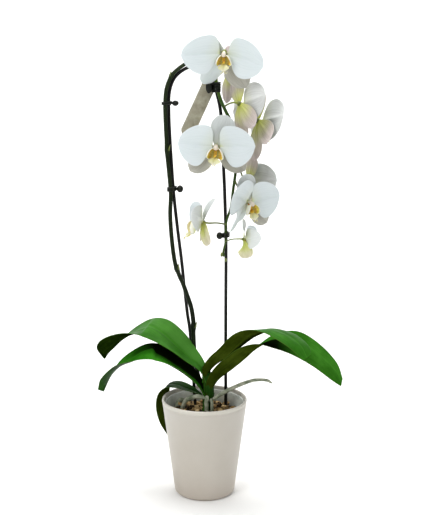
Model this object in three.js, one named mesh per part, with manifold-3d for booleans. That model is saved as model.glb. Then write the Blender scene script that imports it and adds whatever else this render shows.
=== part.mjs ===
// Potted moth orchid with one arching, cascading spike of nine white flowers, tied to a black wire hoop.
// Millimetres, +Z up. The origin is the centre of the cover pot's flat base, +X is the plant's right
// and -Y its front. Everything rests in or grows from the pot, so nothing here moves.

import * as THREE from "three";
import { mergeVertices } from "three/addons/utils/BufferGeometryUtils.js";
import Module from "manifold-3d";

const wasm = await Module();
wasm.setup();

// ---------------------------------------------------------------- driving dimensions
const gap = 0.3; // between pieces that touch

const pot = { height: 147, baseRadius: 45, rimRadius: 63.9, wall: 3, floor: 4, baseFillet: 6, beadHeight: 6 };
const liner = { height: 137, baseRadius: 39, rimRadius: 59.6, wall: 1.4 };
const bark = { top: 126, bumpHeight: 3, rings: 6, sectors: 20 };

const hoopRadius = 2.5; // wire with a plastic sleeve, 5 mm thick
const hoopPath = [
  [-10, 22, 24], [-13, 26, 90], [-16, 31, 150], [-22, 34, 238], [-26, 31, 270], [-30, 27, 309],
  [-34, 24, 352], [-40, 20, 405], [-45, 19, 456], [-49, 18, 520], [-51, 18, 570], [-50, 17, 600],
  [-43, 16, 620], [-30, 16, 632], [-14, 16, 638], [1, 16, 636], [12, 17, 622], [18, 17, 600],
  [24, 17, 570], [27, 17, 515], [30, 18, 450], [32, 20, 380], [32, 23, 293], [32, 25, 200],
  [32, 25, 120], [27, 22, 60], [24, 20, 24],
];

const spikeRadii = [3.6, 3.2, 2.8, 2.4, 1.4]; // from the leaf axil to the tip
const spikePath = [
  [1, 7, 156], [-9, 21, 172], [-15, 28, 205], [-17, 28, 237], [-17, 25, 259], [-20, 21, 282],
  [-26, 18, 302], [-32, 15, 320], [-38, 14, 334], [-44, 13, 354], [-48, 13, 387], [-50, 14, 423],
  [-49, 14, 457], [-53, 14, 505], [-55, 13, 541], [-56, 13, 566], [-56, 12, 585], [-54, 12, 605],
  [-48, 12, 621], [-40, 12, 631], [-24, 12, 642], [-6, 12, 647], [8, 12, 643], [15, 11, 632],
  [18, 10, 611], [23, 10, 592], [31, 10, 574], [40, 11, 555], [46, 13, 525], [46, 13, 492],
  [42, 11, 460], [39, 11, 435], [33, 12, 416], [31, 13, 401], [31, 13, 382], [28, 13, 369],
  [29, 13, 361],
];

const crownRadii = [7, 8.5, 9, 8.5, 5];
const crownPath = [[3, 3, 118], [5, 3, 138], [6, 2, 156], [5, 2, 176], [1, 2, 196]];

// Each leaf is a strap between a front and a back edge, listed from the stem to the tip. Its arch is how
// far the middle stands above the two edges, as a part of half the width: minus is a channel.
const leafThickness = 2.2;
const leaves = {
  leaf_upper_left: {
    front: [[-7, -8, 191], [-27, -16, 208], [-49, -20, 226], [-72, -18, 239], [-97, -8, 246],
      [-121, 8, 245], [-145, 26, 236], [-162, 42, 223], [-167, 52, 208], [-157, 60, 190]],
    back: [[0, 10, 201], [-15, 24, 220], [-33, 38, 240], [-56, 50, 255], [-80, 60, 255],
      [-101, 67, 243], [-120, 72, 227], [-139, 72, 207], [-150, 68, 197], [-156, 62, 189]],
    arch: [-0.3, -0.3, -0.25, -0.1, 0.1, 0.25, 0.3, 0.3, 0.2, 0],
  },
  leaf_lower_left: {
    front: [[-4, -10, 161], [-21, -24, 186], [-41, -33, 204], [-63, -38, 215], [-86, -38, 218],
      [-108, -34, 214], [-132, -26, 205], [-154, -14, 182], [-160, -5, 161]],
    back: [[-5, 8, 177], [-22, 12, 196], [-43, 14, 214], [-66, 16, 226], [-88, 17, 226],
      [-112, 17, 213], [-131, 14, 196], [-144, 8, 173], [-152, 2, 156]],
    arch: [-0.3, -0.35, -0.35, -0.2, 0, 0.2, 0.25, 0.2, 0],
  },
  leaf_upper_right: {
    front: [[-3, -6, 194], [6, -18, 214], [21, -34, 234], [41, -52, 260], [62, -68, 271],
      [84, -82, 270], [105, -94, 261], [122, -102, 251], [138, -104, 236]],
    back: [[4, 2, 179], [14, 2, 196], [32, -2, 212], [53, -8, 228], [76, -18, 248],
      [104, -34, 262], [129, -54, 261], [147, -74, 250], [150, -90, 240]],
    arch: [-0.3, -0.35, -0.35, -0.2, 0, 0.12, 0.15, 0.12, 0],
  },
  leaf_right: {
    front: [[3, -6, 174], [14, -14, 197], [32, -22, 218], [52, -32, 235], [75, -42, 243],
      [98, -50, 239], [125, -54, 230], [156, -52, 212], [186, -44, 188], [201, -34, 176]],
    back: [[11, 4, 156], [20, 12, 172], [39, 17, 187], [58, 20, 202], [81, 22, 223],
      [108, 20, 242], [140, 13, 247], [170, 4, 231], [196, -8, 205], [204, -24, 184]],
    arch: [-0.3, -0.35, -0.35, -0.25, -0.1, 0.05, 0.12, 0.12, 0.1, 0],
  },
  leaf_back_left: {
    front: [[-11, 4, 152], [-30, 10, 155], [-46, 16, 157], [-61, 21, 155], [-72, 25, 142],
      [-75, 29, 120], [-70, 34, 95], [-58, 41, 71]],
    back: [[-15, 20, 157], [-29, 34, 160], [-43, 44, 159], [-53, 50, 153], [-55, 53, 139],
      [-51, 52, 118], [-49, 50, 96], [-52, 46, 73]],
    arch: [-0.3, -0.2, 0, 0.12, 0.2, 0.2, 0.12, 0],
  },
};

const roots = {
  root_aerial_right: { radii: [3, 2.4, 1.2], path: [[13, -6, 147], [22, 4, 148], [33, 10, 151],
    [44, 12, 156], [59, 14, 163], [76, 13, 170], [93, 11, 171], [102, 9, 167]] },
  root_left_arch: { radii: [3.2, 3.4, 3], path: [[1, -6, 149], [-11, -6, 151], [-22, -3, 147],
    [-30, 4, 139], [-35, 12, 120]] },
  root_left_back: { radii: [3.4, 3.8, 3.2], path: [[-28, 34, 120], [-32, 32, 130], [-37, 30, 133],
    [-41, 27, 129], [-42, 24, 120]] },
  root_front: { radii: [3, 3, 2.8], path: [[4, -6, 152], [3, -10, 144], [3, -10, 134], [3, -8, 120]] },
  root_front_right: { radii: [2.4, 2.4, 2], path: [[9, -3, 147], [11, -7, 140], [11, -7, 130],
    [11, -6, 120]] },
};

const clip = { wire: 1.25, pitch: 2.7, knobRadius: 4.6, knobReach: 5.6 };
const clips = {
  clip_top: { height: 608, rings: 5, knobTurn: 195 },
  clip_upper_left: { height: 585, rings: 2, knobTurn: 0 },
  clip_lower_left: { height: 461, rings: 2, knobTurn: 0 },
  clip_lower_right: { height: 393, rings: 2, knobTurn: 215 },
};

const tag = { width: 20.5, length: 92, thickness: 0.8, top: [10.5, 25, 618], tilt: 25 };

// A flower's outer whorl of three sepals, its two broad petals and its lip, in its own frame: +X its
// right as seen from the front, +Y up, +Z the way it faces.
const dorsalShape = { length: 44, width: 34, thickness: 1, round: 2.6, base: 2.2 };
const lateralShape = { length: 54, width: 30, thickness: 1, round: 2.6, base: 2.2 };
const petalShape = { length: 50, width: 58, thickness: 1, round: 3.2, base: 3 };
const hubRadius = 4;

// at: the middle of the flower's back. yaw turns it to the right from facing the front, pitch tips it
// up and roll tips its top to the right. sepals are the turns of the top, left and right sepals from
// upright, petals those of its left and right petals, the leans say how far each of these comes forward
// and twists turn a sepal about its own length, all in degrees. spread is the petals' share of their full
// width. size 1 is 105 mm across. stalk is where its stalk leaves the spike.
const flowers = [
  { at: [28, -25, 656], yaw: -4, pitch: -15, roll: 0, size: 1.12, spread: 0.84, stalk: [4, 12, 646],
    sepals: [-70, -148, 150], sepalLeans: [-62, -14, -4], twists: [65, 38, 0], petals: [-93, 104],
    petalLeans: [4, 18] },
  { at: [17.5, -18, 526.5], yaw: -4, pitch: -6, roll: 6, size: 1.03, spread: 1, stalk: [36, 10, 564],
    sepals: [14, -141, 127], sepalLeans: [-4, -8, -8], petals: [-92, 84], petalLeans: [0, 0] },
  { at: [50.5, 0, 585], yaw: 125, pitch: -12, roll: 30, size: 0.96, spread: 1, stalk: [28, 10, 580],
    sepals: [0, -155, 155], sepalLeans: [0, 4, 22], petals: [-104, 80], petalLeans: [4, 30] },
  { at: [77.5, 18, 560], yaw: 120, pitch: -20, roll: 21, size: 1.1, spread: 1, stalk: [43, 12, 544],
    sepals: [8, -138, 168], sepalLeans: [0, -2, 12], petals: [-100, 86], petalLeans: [0, 30] },
  { at: [36.5, 46, 630], yaw: 128, pitch: -10, roll: 20, size: 0.88, spread: 1, stalk: [15, 11, 634],
    sepals: [0, -152, 152], sepalLeans: [2, 4, 12], petals: [-98, 82], petalLeans: [6, 36] },
  { at: [63, -6, 445], yaw: 34, pitch: -8, roll: -6, size: 0.97, spread: 1, stalk: [44, 12, 474],
    sepals: [-8, -136, 138], sepalLeans: [2, 10, 2], twists: [0, 40, 0], petals: [-58, 88],
    petalLeans: [24, 8] },
  { at: [66, 38, 471], yaw: 125, pitch: -5, roll: -6, size: 0.87, spread: 1, stalk: [46, 13, 500],
    sepals: [0, -142, 142], sepalLeans: [2, 2, 16], petals: [-78, 88], petalLeans: [22, 34] },
  { at: [-2, 4, 414], yaw: -78, pitch: 12, roll: 0, size: 0.88, spread: 0.8, stalk: [33, 12, 409],
    sepals: [0, -130, 132], sepalLeans: [-14, -13, -13], petals: [-72, 72], petalLeans: [16, 34] },
  { at: [57.5, 2, 389], yaw: 95, pitch: -4, roll: 0, size: 0.69, spread: 0.76, stalk: [31, 13, 384],
    sepals: [0, -146, 150], sepalLeans: [-4, 10, 22], twists: [20, 60, 0], petals: [-75, 75],
    petalLeans: [34, 36] },
];

const buds = {
  tip_bud_1: { at: [25.5, 13, 364], length: 7, radius: 2 },
  tip_bud_2: { at: [31.5, 12, 356], length: 6, radius: 1.7 },
};

// ---------------------------------------------------------------- finishes
const finish = (color, roughness) => new THREE.MeshStandardMaterial({ color, roughness, metalness: 0 });
const finishes = {
  potPlastic: () => finish("#d6d0c5", 0.45),
  linerPlastic: () => finish("#c9cdcb", 0.25),
  bark: () => finish("#7a4d27", 0.9),
  leaf: () => finish("#2f7a22", 0.4),
  stem: () => finish("#33502a", 0.5),
  root: () => finish("#9a9a76", 0.75),
  hoop: () => finish("#15140f", 0.35),
  clip: () => finish("#1a1d16", 0.4),
  tag: () => finish("#b9b6a8", 0.5),
  petal: () => finish("#f0f2f2", 0.55),
  lip: () => finish("#e0bd3c", 0.45),
  bud: () => finish("#5d6a34", 0.5),
};

// ---------------------------------------------------------------- solids and curves
const point = (list) => new THREE.Vector3(...list);
const spline = (points) => new THREE.CatmullRomCurve3(points.map(point), false, "catmullrom", 0.5);
const mix = THREE.MathUtils.lerp;
const rad = THREE.MathUtils.degToRad;

// The value at t along a list, eased smoothly from one entry to the next.
function along(list, t) {
  const place = t * (list.length - 1);
  const start = Math.min(Math.floor(place), list.length - 2);
  return mix(list[start], list[start + 1], place - start);
}

function toSolid(geometry) {
  const bare = geometry.clone();
  bare.deleteAttribute("normal");
  bare.deleteAttribute("uv");
  const merged = mergeVertices(bare, 1e-4);
  const triVerts = new Uint32Array(merged.index.array);
  const build = () =>
    new wasm.Manifold(
      new wasm.Mesh({ numProp: 3, vertProperties: merged.attributes.position.array, triVerts }),
    );
  const solid = build();
  if (solid.volume() > 0) return solid;
  for (let i = 0; i < triVerts.length; i += 3) {
    [triVerts[i], triVerts[i + 1]] = [triVerts[i + 1], triVerts[i]];
  }
  return build();
}

function toGeometry(solid) {
  const { vertProperties, triVerts, numProp } = solid.getMesh();
  const positions = new Float32Array((vertProperties.length / numProp) * 3);
  for (let i = 0; i < positions.length / 3; i++) {
    for (let axis = 0; axis < 3; axis++) positions[3 * i + axis] = vertProperties[numProp * i + axis];
  }
  const geometry = new THREE.BufferGeometry();
  geometry.setAttribute("position", new THREE.BufferAttribute(positions, 3));
  geometry.setIndex(new THREE.BufferAttribute(new Uint32Array(triVerts), 1));
  geometry.computeVertexNormals();
  return geometry;
}

// Cuts the pieces in others away and keeps the largest body that is left.
function cut(solid, others) {
  const left = others.reduce((rest, other) => rest.subtract(other), solid);
  const bodies = left.decompose();
  return bodies.sort((a, b) => b.volume() - a.volume())[0];
}

// A closed body from rings of points, each ring having the same number, with its two ends filled.
function loft(rings) {
  const count = rings[0].length;
  const positions = [];
  const index = [];
  for (const ring of rings) for (const corner of ring) positions.push(corner.x, corner.y, corner.z);
  for (let i = 0; i + 1 < rings.length; i++) {
    for (let j = 0; j < count; j++) {
      const a = i * count + j;
      const b = i * count + ((j + 1) % count);
      index.push(a, b, b + count, a, b + count, a + count);
    }
  }
  for (const [first, turned] of [[0, true], [(rings.length - 1) * count, false]]) {
    for (let j = 1; j + 1 < count; j++) {
      index.push(first, first + (turned ? j + 1 : j), first + (turned ? j : j + 1));
    }
  }
  const geometry = new THREE.BufferGeometry();
  geometry.setAttribute("position", new THREE.Float32BufferAttribute(positions, 3));
  geometry.setIndex(index);
  return toSolid(geometry);
}

// A round stem along a path, whose radius follows a list from its start to its end. With extra it is
// that much larger all over, which is how a neighbour is cut back from it.
function stem(path, radii, sides, steps, extra = 0) {
  const curve = spline(path);
  const frames = curve.computeFrenetFrames(steps, false);
  const rings = [];
  for (let i = 0; i <= steps; i++) {
    const centre = curve.getPointAt(i / steps);
    if (i === 0) centre.addScaledVector(frames.tangents[0], -extra);
    if (i === steps) centre.addScaledVector(frames.tangents[steps], extra);
    const radius = along(radii, i / steps) + extra;
    const ring = [];
    for (let j = 0; j < sides; j++) {
      const turn = (2 * Math.PI * j) / sides;
      ring.push(
        centre
          .clone()
          .addScaledVector(frames.normals[i], radius * Math.cos(turn))
          .addScaledVector(frames.binormals[i], radius * Math.sin(turn)),
      );
    }
    rings.push(ring);
  }
  return loft(rings);
}

// A thin closed sheet: middle(u, v) gives its middle surface for u from 0 to 1 and v from -1 to 1.
function sheet(middle, lengthSteps, widthSteps, thickness) {
  const rings = [];
  const small = 1e-3;
  for (let i = 0; i <= lengthSteps; i++) {
    const u = i / lengthSteps;
    const upper = [];
    const lower = [];
    for (let j = 0; j <= widthSteps; j++) {
      const v = (2 * j) / widthSteps - 1;
      const here = middle(u, v);
      const alongU = middle(Math.min(u + small, 1), v).sub(middle(Math.max(u - small, 0), v));
      const alongV = middle(u, Math.min(v + small, 1)).sub(middle(u, Math.max(v - small, -1)));
      const normal = alongU.cross(alongV).normalize();
      upper.push(here.clone().addScaledVector(normal, thickness / 2));
      lower.push(here.clone().addScaledVector(normal, -thickness / 2));
    }
    rings.push([...upper, ...lower.reverse()]);
  }
  return loftSheet(rings, widthSteps + 1);
}

// As loft, but the two ends of a sheet are filled as strips between its upper and lower rows.
function loftSheet(rings, row) {
  const count = 2 * row;
  const positions = [];
  const index = [];
  for (const ring of rings) for (const corner of ring) positions.push(corner.x, corner.y, corner.z);
  for (let i = 0; i + 1 < rings.length; i++) {
    for (let j = 0; j < count; j++) {
      const a = i * count + j;
      const b = i * count + ((j + 1) % count);
      index.push(a, b, b + count, a, b + count, a + count);
    }
  }
  for (const [first, turned] of [[0, true], [(rings.length - 1) * count, false]]) {
    for (let j = 0; j + 1 < row; j++) {
      const quad = [first + j, first + j + 1, first + count - 2 - j, first + count - 1 - j];
      if (turned) quad.reverse();
      index.push(quad[0], quad[1], quad[2], quad[0], quad[2], quad[3]);
    }
  }
  const geometry = new THREE.BufferGeometry();
  geometry.setAttribute("position", new THREE.Float32BufferAttribute(positions, 3));
  geometry.setIndex(index);
  return toSolid(geometry);
}

function ball(radiusX, radiusY, radiusZ, place, turn = [0, 0, 0], across = 8, down = 6) {
  const geometry = new THREE.SphereGeometry(1, across, down);
  geometry.scale(radiusX, radiusY, radiusZ);
  geometry.rotateX(rad(turn[0]));
  geometry.rotateY(rad(turn[1]));
  geometry.rotateZ(rad(turn[2]));
  geometry.translate(...place);
  return toSolid(geometry);
}

// A profile of [radius, height] pairs turned about the upright axis.
function turned(profile, segments) {
  const geometry = new THREE.LatheGeometry(profile.map(([r, z]) => new THREE.Vector2(r, z)), segments);
  geometry.rotateX(Math.PI / 2);
  return toSolid(geometry);
}

const plant = new THREE.Group();

function addPiece(name, solid, material, holder = plant) {
  const mesh = new THREE.Mesh(toGeometry(solid), material());
  mesh.name = name;
  holder.add(mesh);
  return mesh;
}

// ---------------------------------------------------------------- pots and bark
function coverPot() {
  const { height, baseRadius, rimRadius, wall, floor, baseFillet, beadHeight } = pot;
  const neck = rimRadius - 0.5; // the wall just under the rim's bead
  const slope = (neck - baseRadius) / (height - beadHeight);
  const outer = (z) => baseRadius + slope * z;
  const profile = [[0, 0], [baseRadius - baseFillet, 0]];
  for (const turn of [30, 60, 90]) {
    profile.push([
      baseRadius - baseFillet + baseFillet * Math.sin(rad(turn)) + slope * baseFillet,
      baseFillet - baseFillet * Math.cos(rad(turn)),
    ]);
  }
  profile.push([outer(height / 2), height / 2], [outer(height - beadHeight), height - beadHeight]);
  const beadMiddle = height - beadHeight / 2;
  for (const turn of [-60, -20, 20, 60]) {
    profile.push([
      rimRadius - wall / 2 + (wall / 2) * Math.cos(rad(turn)),
      beadMiddle + (beadHeight / 2) * Math.sin(rad(turn)),
    ]);
  }
  profile.push([rimRadius - wall / 2, height], [rimRadius - wall, height - 1.2]);
  profile.push([outer(height - beadHeight) - wall, height - 2 * beadHeight]);
  profile.push([baseRadius - wall, floor + 3], [baseRadius - wall - 3, floor], [0, floor]);
  return turned(profile, 32);
}

function growPot() {
  const { height, baseRadius, rimRadius, wall } = liner;
  const bottom = pot.floor + gap;
  return turned(
    [
      [0, bottom],
      [baseRadius - 2, bottom],
      [baseRadius, bottom + 3],
      [rimRadius - 1, bottom + height - 4],
      [rimRadius, bottom + height - 3.5],
      [rimRadius, bottom + height],
      [rimRadius - wall, bottom + height],
      [rimRadius - wall - 1, bottom + height - 4],
      [baseRadius - wall, bottom + 3 + wall],
      [baseRadius - wall - 2, bottom + wall],
      [0, bottom + wall],
    ],
    28,
  );
}

// The bark fills the liner up to a lumpy top.
function barkMedium(others) {
  const bottom = pot.floor + liner.wall + 2 * gap;
  const span = bark.top - bottom;
  const room = (z) => {
    const slope = (liner.rimRadius - liner.baseRadius - 1) / (liner.height - 7);
    return liner.baseRadius + slope * (z - bottom - 3) - liner.wall - 3 * gap;
  };
  const rings = [];
  const ringAt = (radius, height) => {
    const ring = [];
    for (let j = 0; j < bark.sectors; j++) {
      const turn = (2 * Math.PI * j) / bark.sectors;
      const spot = new THREE.Vector3(radius * Math.cos(turn), radius * Math.sin(turn), 0);
      spot.z = height(spot.x, spot.y);
      ring.push(spot);
    }
    return ring;
  };
  rings.push(ringAt(room(bottom + 3) - 3, () => bottom));
  rings.push(ringAt(room(bottom + 3), () => bottom + 4));
  rings.push(ringAt(room(bottom + 0.94 * span), () => bottom + 0.94 * span));
  const lumps = (x, y) => {
    const wave = Math.sin(0.31 * x + 1.7) * Math.cos(0.27 * y) + 0.6 * Math.sin(0.19 * x - 0.41 * y);
    return bark.top + (bark.bumpHeight * wave) / 1.6;
  };
  for (let i = 0; i < bark.rings; i++) {
    rings.push(ringAt((room(bark.top) - 1) * (1 - i / bark.rings), lumps));
  }
  return cut(loft(rings), others);
}

// ---------------------------------------------------------------- hoop, spike, crown, leaves, roots
const hoopSolid = (extra = 0) => stem(hoopPath, [hoopRadius, hoopRadius], 7, 56, extra);

const spikeStem = (extra = 0) => stem(spikePath, spikeRadii, 6, 64, extra);

const crownSolid = (extra = 0) => stem(crownPath, crownRadii, 10, 8, extra);

function leafSolid({ front, back, arch }, extra = 0) {
  const frontEdge = spline(front);
  const backEdge = spline(back);
  const middle = (u, v) => {
    const a = frontEdge.getPoint(u);
    const b = backEdge.getPoint(u);
    const across = b.clone().sub(a);
    const half = across.length() / 2;
    const side = across.clone().normalize();
    const ahead = frontEdge.getTangent(u).add(backEdge.getTangent(u));
    const up = ahead.cross(side).normalize();
    if (up.z < 0 && u < 0.5) up.negate();
    const centre = a.add(b).multiplyScalar(0.5);
    const reach = v * (half + extra);
    return centre
      .addScaledVector(side, reach)
      .addScaledVector(up, along(arch, u) * half * (1 - v * v));
  };
  return sheet(middle, 10, 4, leafThickness + 2 * extra);
}

// ---------------------------------------------------------------- clips and tag
function closedWire(corners, radius) {
  const curve = new THREE.CatmullRomCurve3(corners, true, "catmullrom", 0.5);
  const steps = 16;
  const sides = 5;
  const positions = [];
  const index = [];
  for (let i = 0; i < steps; i++) {
    const centre = curve.getPoint(i / steps);
    const outward = curve.getTangent(i / steps).cross(new THREE.Vector3(0, 0, 1)).normalize();
    for (let j = 0; j < sides; j++) {
      const turn = (2 * Math.PI * j) / sides;
      positions.push(
        centre.x + outward.x * radius * Math.cos(turn),
        centre.y + outward.y * radius * Math.cos(turn),
        centre.z + radius * Math.sin(turn),
      );
      const next = (i + 1) % steps;
      const side = (j + 1) % sides;
      index.push(i * sides + j, i * sides + side, next * sides + side);
      index.push(i * sides + j, next * sides + side, next * sides + j);
    }
  }
  const geometry = new THREE.BufferGeometry();
  geometry.setAttribute("position", new THREE.Float32BufferAttribute(positions, 3));
  geometry.setIndex(index);
  return toSolid(geometry);
}

// Where a path first passes a height, looking from its start or from its end.
function passes(path, height, fromEnd) {
  const spots = spline(path).getPoints(400);
  if (fromEnd) spots.reverse();
  for (let i = 0; i + 1 < spots.length; i++) {
    const [a, b] = [spots[i], spots[i + 1]];
    if ((a.z - height) * (b.z - height) <= 0) return a.lerp(b, (height - a.z) / (b.z - a.z || 1));
  }
  throw new Error("the path doesn't reach this height");
}

// A wire clip round the hoop and the spike, with the round grip that opens it.
function clipSolid({ height, rings, knobTurn }) {
  const right = knobTurn > 90;
  const a = passes(spikePath, height, right);
  const b = passes(hoopPath, height, right);
  const middle = a.clone().add(b).multiplyScalar(0.5);
  const lengthwise = b.clone().sub(a).setZ(0);
  const reach = lengthwise.length() / 2 + 3.4 + clip.wire;
  lengthwise.normalize();
  const sideways = new THREE.Vector3(-lengthwise.y, lengthwise.x, 0);
  const corners = [];
  for (let i = 0; i < 10; i++) {
    const turn = (2 * Math.PI * i) / 10;
    corners.push(
      middle
        .clone()
        .addScaledVector(lengthwise, reach * Math.cos(turn))
        .addScaledVector(sideways, (3.9 + clip.wire) * Math.sin(turn)),
    );
  }
  const knobWay = new THREE.Vector3(Math.cos(rad(knobTurn)), Math.sin(rad(knobTurn)), 0);
  const edge = corners.reduce((best, corner) =>
    corner.clone().sub(middle).dot(knobWay) > best.clone().sub(middle).dot(knobWay) ? corner : best,
  );
  const knobMiddle = edge.clone().addScaledVector(knobWay, clip.knobReach);
  const tall = (rings * clip.pitch) / 2 + 1;
  let solid = ball(clip.knobRadius, clip.knobRadius, tall + 1, knobMiddle.toArray());
  const neck = [edge.clone().addScaledVector(knobWay, 0.4), knobMiddle].map((p) => p.toArray());
  solid = solid.add(stem([neck[0], neck[1]], [1.5, 1.8], 6, 2));
  for (let i = 0; i < rings; i++) {
    const lift = (i - (rings - 1) / 2) * clip.pitch;
    const ring = closedWire(
      corners.map((corner) => corner.clone().setZ(height + lift)),
      clip.wire,
    );
    solid = solid.add(ring);
  }
  return solid;
}

// ---------------------------------------------------------------- flowers
// A tepal's half width at u of its length: a narrow base, widest past the middle and a round tip.
function halfWidth({ width, round, base }, u, rise, spread) {
  const body = Math.pow(u, rise) * Math.sqrt(Math.max(1 - Math.pow(u, round), 0));
  return Math.max((width / 2) * body * 1.52 * spread, base);
}

// A tepal in the flower's frame: turn is its direction from the top, clockwise; lean carries its tip
// forward, cup lifts its edges forward and twist turns its far end about its length.
function tepal(shape, { turn, lean, twist = 0, spread = 1, cup, lift, size, rise, start, steps }) {
  const way = new THREE.Vector3(Math.sin(rad(turn)), Math.cos(rad(turn)), 0);
  const side = new THREE.Vector3(way.y, -way.x, 0);
  const length = shape.length * size;
  const middle = (t, v) => {
    const u = Math.sin((Math.PI / 2) * (0.04 + 0.945 * t));
    const half = halfWidth(shape, u, rise, spread) * size;
    const out = start * size + length * u;
    const bend = rad(lean) * u;
    const over = rad(twist) * Math.min(1, 1.7 * u) ** 2;
    const forward = lift * size + out * Math.sin(bend) + cup * half * v * v + half * v * Math.sin(over);
    return way
      .clone()
      .multiplyScalar(out * Math.cos(bend))
      .addScaledVector(side, half * v * Math.cos(over))
      .setZ(forward);
  };
  return sheet(middle, ...steps, shape.thickness);
}

function sepalsSolid({ size, sepals, sepalLeans, twists = [0, 0, 0] }) {
  const common = { size, cup: 0.05, lift: 0, rise: 0.55, start: 0, steps: [5, 2] };
  const hub = ball(hubRadius * size, hubRadius * size, 2.6 * size, [0, 0, -1.2 * size], [0, 0, 0], 6, 4);
  return sepals.reduce((joined, turn, i) => {
    const shape = i === 0 ? dorsalShape : lateralShape;
    return joined.add(tepal(shape, { ...common, turn, lean: sepalLeans[i], twist: twists[i] }));
  }, hub);
}

function petalSolid({ size, spread, petals, petalLeans }, i) {
  const common = { cup: 0.08, lift: 3.6, size, spread, rise: 0.62, start: 3.4, steps: [6, 4] };
  return tepal(petalShape, { ...common, turn: petals[i], lean: petalLeans[i] });
}

// The lip: two side lobes that curl up beside the column, a middle lobe and its two tendrils.
function lipSolid({ size: s }) {
  const at = (x, y, z) => [x * s, y * s, z * s];
  let solid = ball(3.2 * s, 3.4 * s, 5.6 * s, at(0, 0, 7.6), [14, 0, 0], 6, 4)
    .add(ball(2.8 * s, 6.5 * s, 3 * s, at(0, -7, 7.5), [0, 0, 0], 6, 4))
    .add(ball(5 * s, 2 * s, 7.5 * s, at(0, -16, 13), [48, 0, 0], 6, 4));
  for (const side of [-1, 1]) {
    const lobe = ball(2 * s, 6.6 * s, 5.4 * s, at(side * 5.2, -9, 10), [0, 0, -side * 30], 6, 4);
    const tendril = [at(side * 1.2, -20, 17), at(side * 4, -23, 20), at(side * 4.6, -20, 23)];
    solid = solid.add(lobe).add(stem(tendril, [0.9 * s, 0.6 * s], 4, 3));
  }
  return solid;
}

function flowerGroup({ at, yaw, pitch, roll }) {
  const [turn, tip, lean] = [rad(yaw), rad(pitch), rad(roll)];
  const face = new THREE.Vector3(
    Math.sin(turn) * Math.cos(tip), -Math.cos(turn) * Math.cos(tip), Math.sin(tip),
  );
  const level = new THREE.Vector3(0, 0, 1).cross(face).normalize();
  const upright = face.clone().cross(level);
  const up = upright.clone().multiplyScalar(Math.cos(lean)).addScaledVector(level, Math.sin(lean));
  const right = up.clone().cross(face);
  const group = new THREE.Group();
  group.quaternion.setFromRotationMatrix(new THREE.Matrix4().makeBasis(right, up, face));
  group.position.set(...at);
  group.updateMatrixWorld(true);
  return group;
}

// The pedicel leaves the spike, bows and meets the back of the flower.
function pedicel(flower) {
  const group = flowerGroup(flower);
  const back = (depth) => group.localToWorld(new THREE.Vector3(0, 0, -depth * flower.size)).toArray();
  const end = back(3.8 + gap / flower.size);
  const bow = back(10);
  return stem([flower.stalk, bow, end], [1.5 * flower.size, 1.4 * flower.size, 2 * flower.size], 6, 4);
}

function spikeSolid() {
  let solid = spikeStem();
  for (const flower of flowers) solid = solid.add(pedicel(flower));
  return solid;
}

// ---------------------------------------------------------------- assembly
addPiece("cover_pot", coverPot(), finishes.potPlastic);
addPiece("grow_pot", growPot(), finishes.linerPlastic);

addPiece("hoop_stake", hoopSolid(), finishes.hoop);
addPiece("plant_crown", crownSolid(), finishes.stem);
addPiece("flower_spike", cut(spikeSolid(), [crownSolid(gap)]), finishes.stem);

const rootSolid = ({ path, radii }, extra = 0) => stem(path, radii, 6, 9, extra);
const taken = [crownSolid(gap), hoopSolid(gap)];
for (const [name, root] of Object.entries(roots)) {
  addPiece(name, cut(rootSolid(root), taken), finishes.root);
  taken.push(rootSolid(root, gap));
}
addPiece("bark_medium", barkMedium(taken), finishes.bark);

taken.push(spikeStem(gap));
for (const [name, leaf] of Object.entries(leaves)) {
  addPiece(name, cut(leafSolid(leaf), taken), finishes.leaf);
  taken.push(leafSolid(leaf, gap));
}

for (const [name, each] of Object.entries(clips)) {
  addPiece(name, cut(clipSolid(each), [hoopSolid(gap), spikeStem(gap)]), finishes.clip);
}

function tagMesh() {
  const outline = new THREE.Shape();
  const half = tag.width / 2;
  const point = 9; // the lower end narrows to a push-in point
  outline.moveTo(-half, 0);
  outline.lineTo(half, 0);
  outline.lineTo(half, point - tag.length);
  outline.lineTo(half / 3, -tag.length);
  outline.lineTo(-half / 3, -tag.length);
  outline.lineTo(-half, point - tag.length);
  outline.closePath();
  const slab = new THREE.ExtrudeGeometry(outline, { depth: tag.thickness, bevelEnabled: false });
  const mesh = addPiece("plant_tag", toSolid(slab), finishes.tag);
  mesh.rotation.set(Math.PI / 2, 0, 0);
  const holder = new THREE.Group();
  holder.rotation.y = rad(tag.tilt);
  holder.position.set(...tag.top);
  holder.add(mesh);
  plant.add(holder);
}
tagMesh();

for (const [name, bud] of Object.entries(buds)) {
  addPiece(name, ball(bud.radius, bud.radius, bud.length / 2, bud.at), finishes.bud);
}

flowers.forEach((flower, i) => {
  const group = flowerGroup(flower);
  const name = `flower_${i + 1}`;
  addPiece(`${name}_sepals`, sepalsSolid(flower), finishes.petal, group);
  addPiece(`${name}_petal_left`, petalSolid(flower, 0), finishes.petal, group);
  addPiece(`${name}_petal_right`, petalSolid(flower, 1), finishes.petal, group);
  addPiece(`${name}_lip`, lipSolid(flower), finishes.lip, group);
  plant.add(group);
});

export default plant;
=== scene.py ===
import math
import random
import bpy
from mathutils import Matrix, Vector, noise


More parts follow.
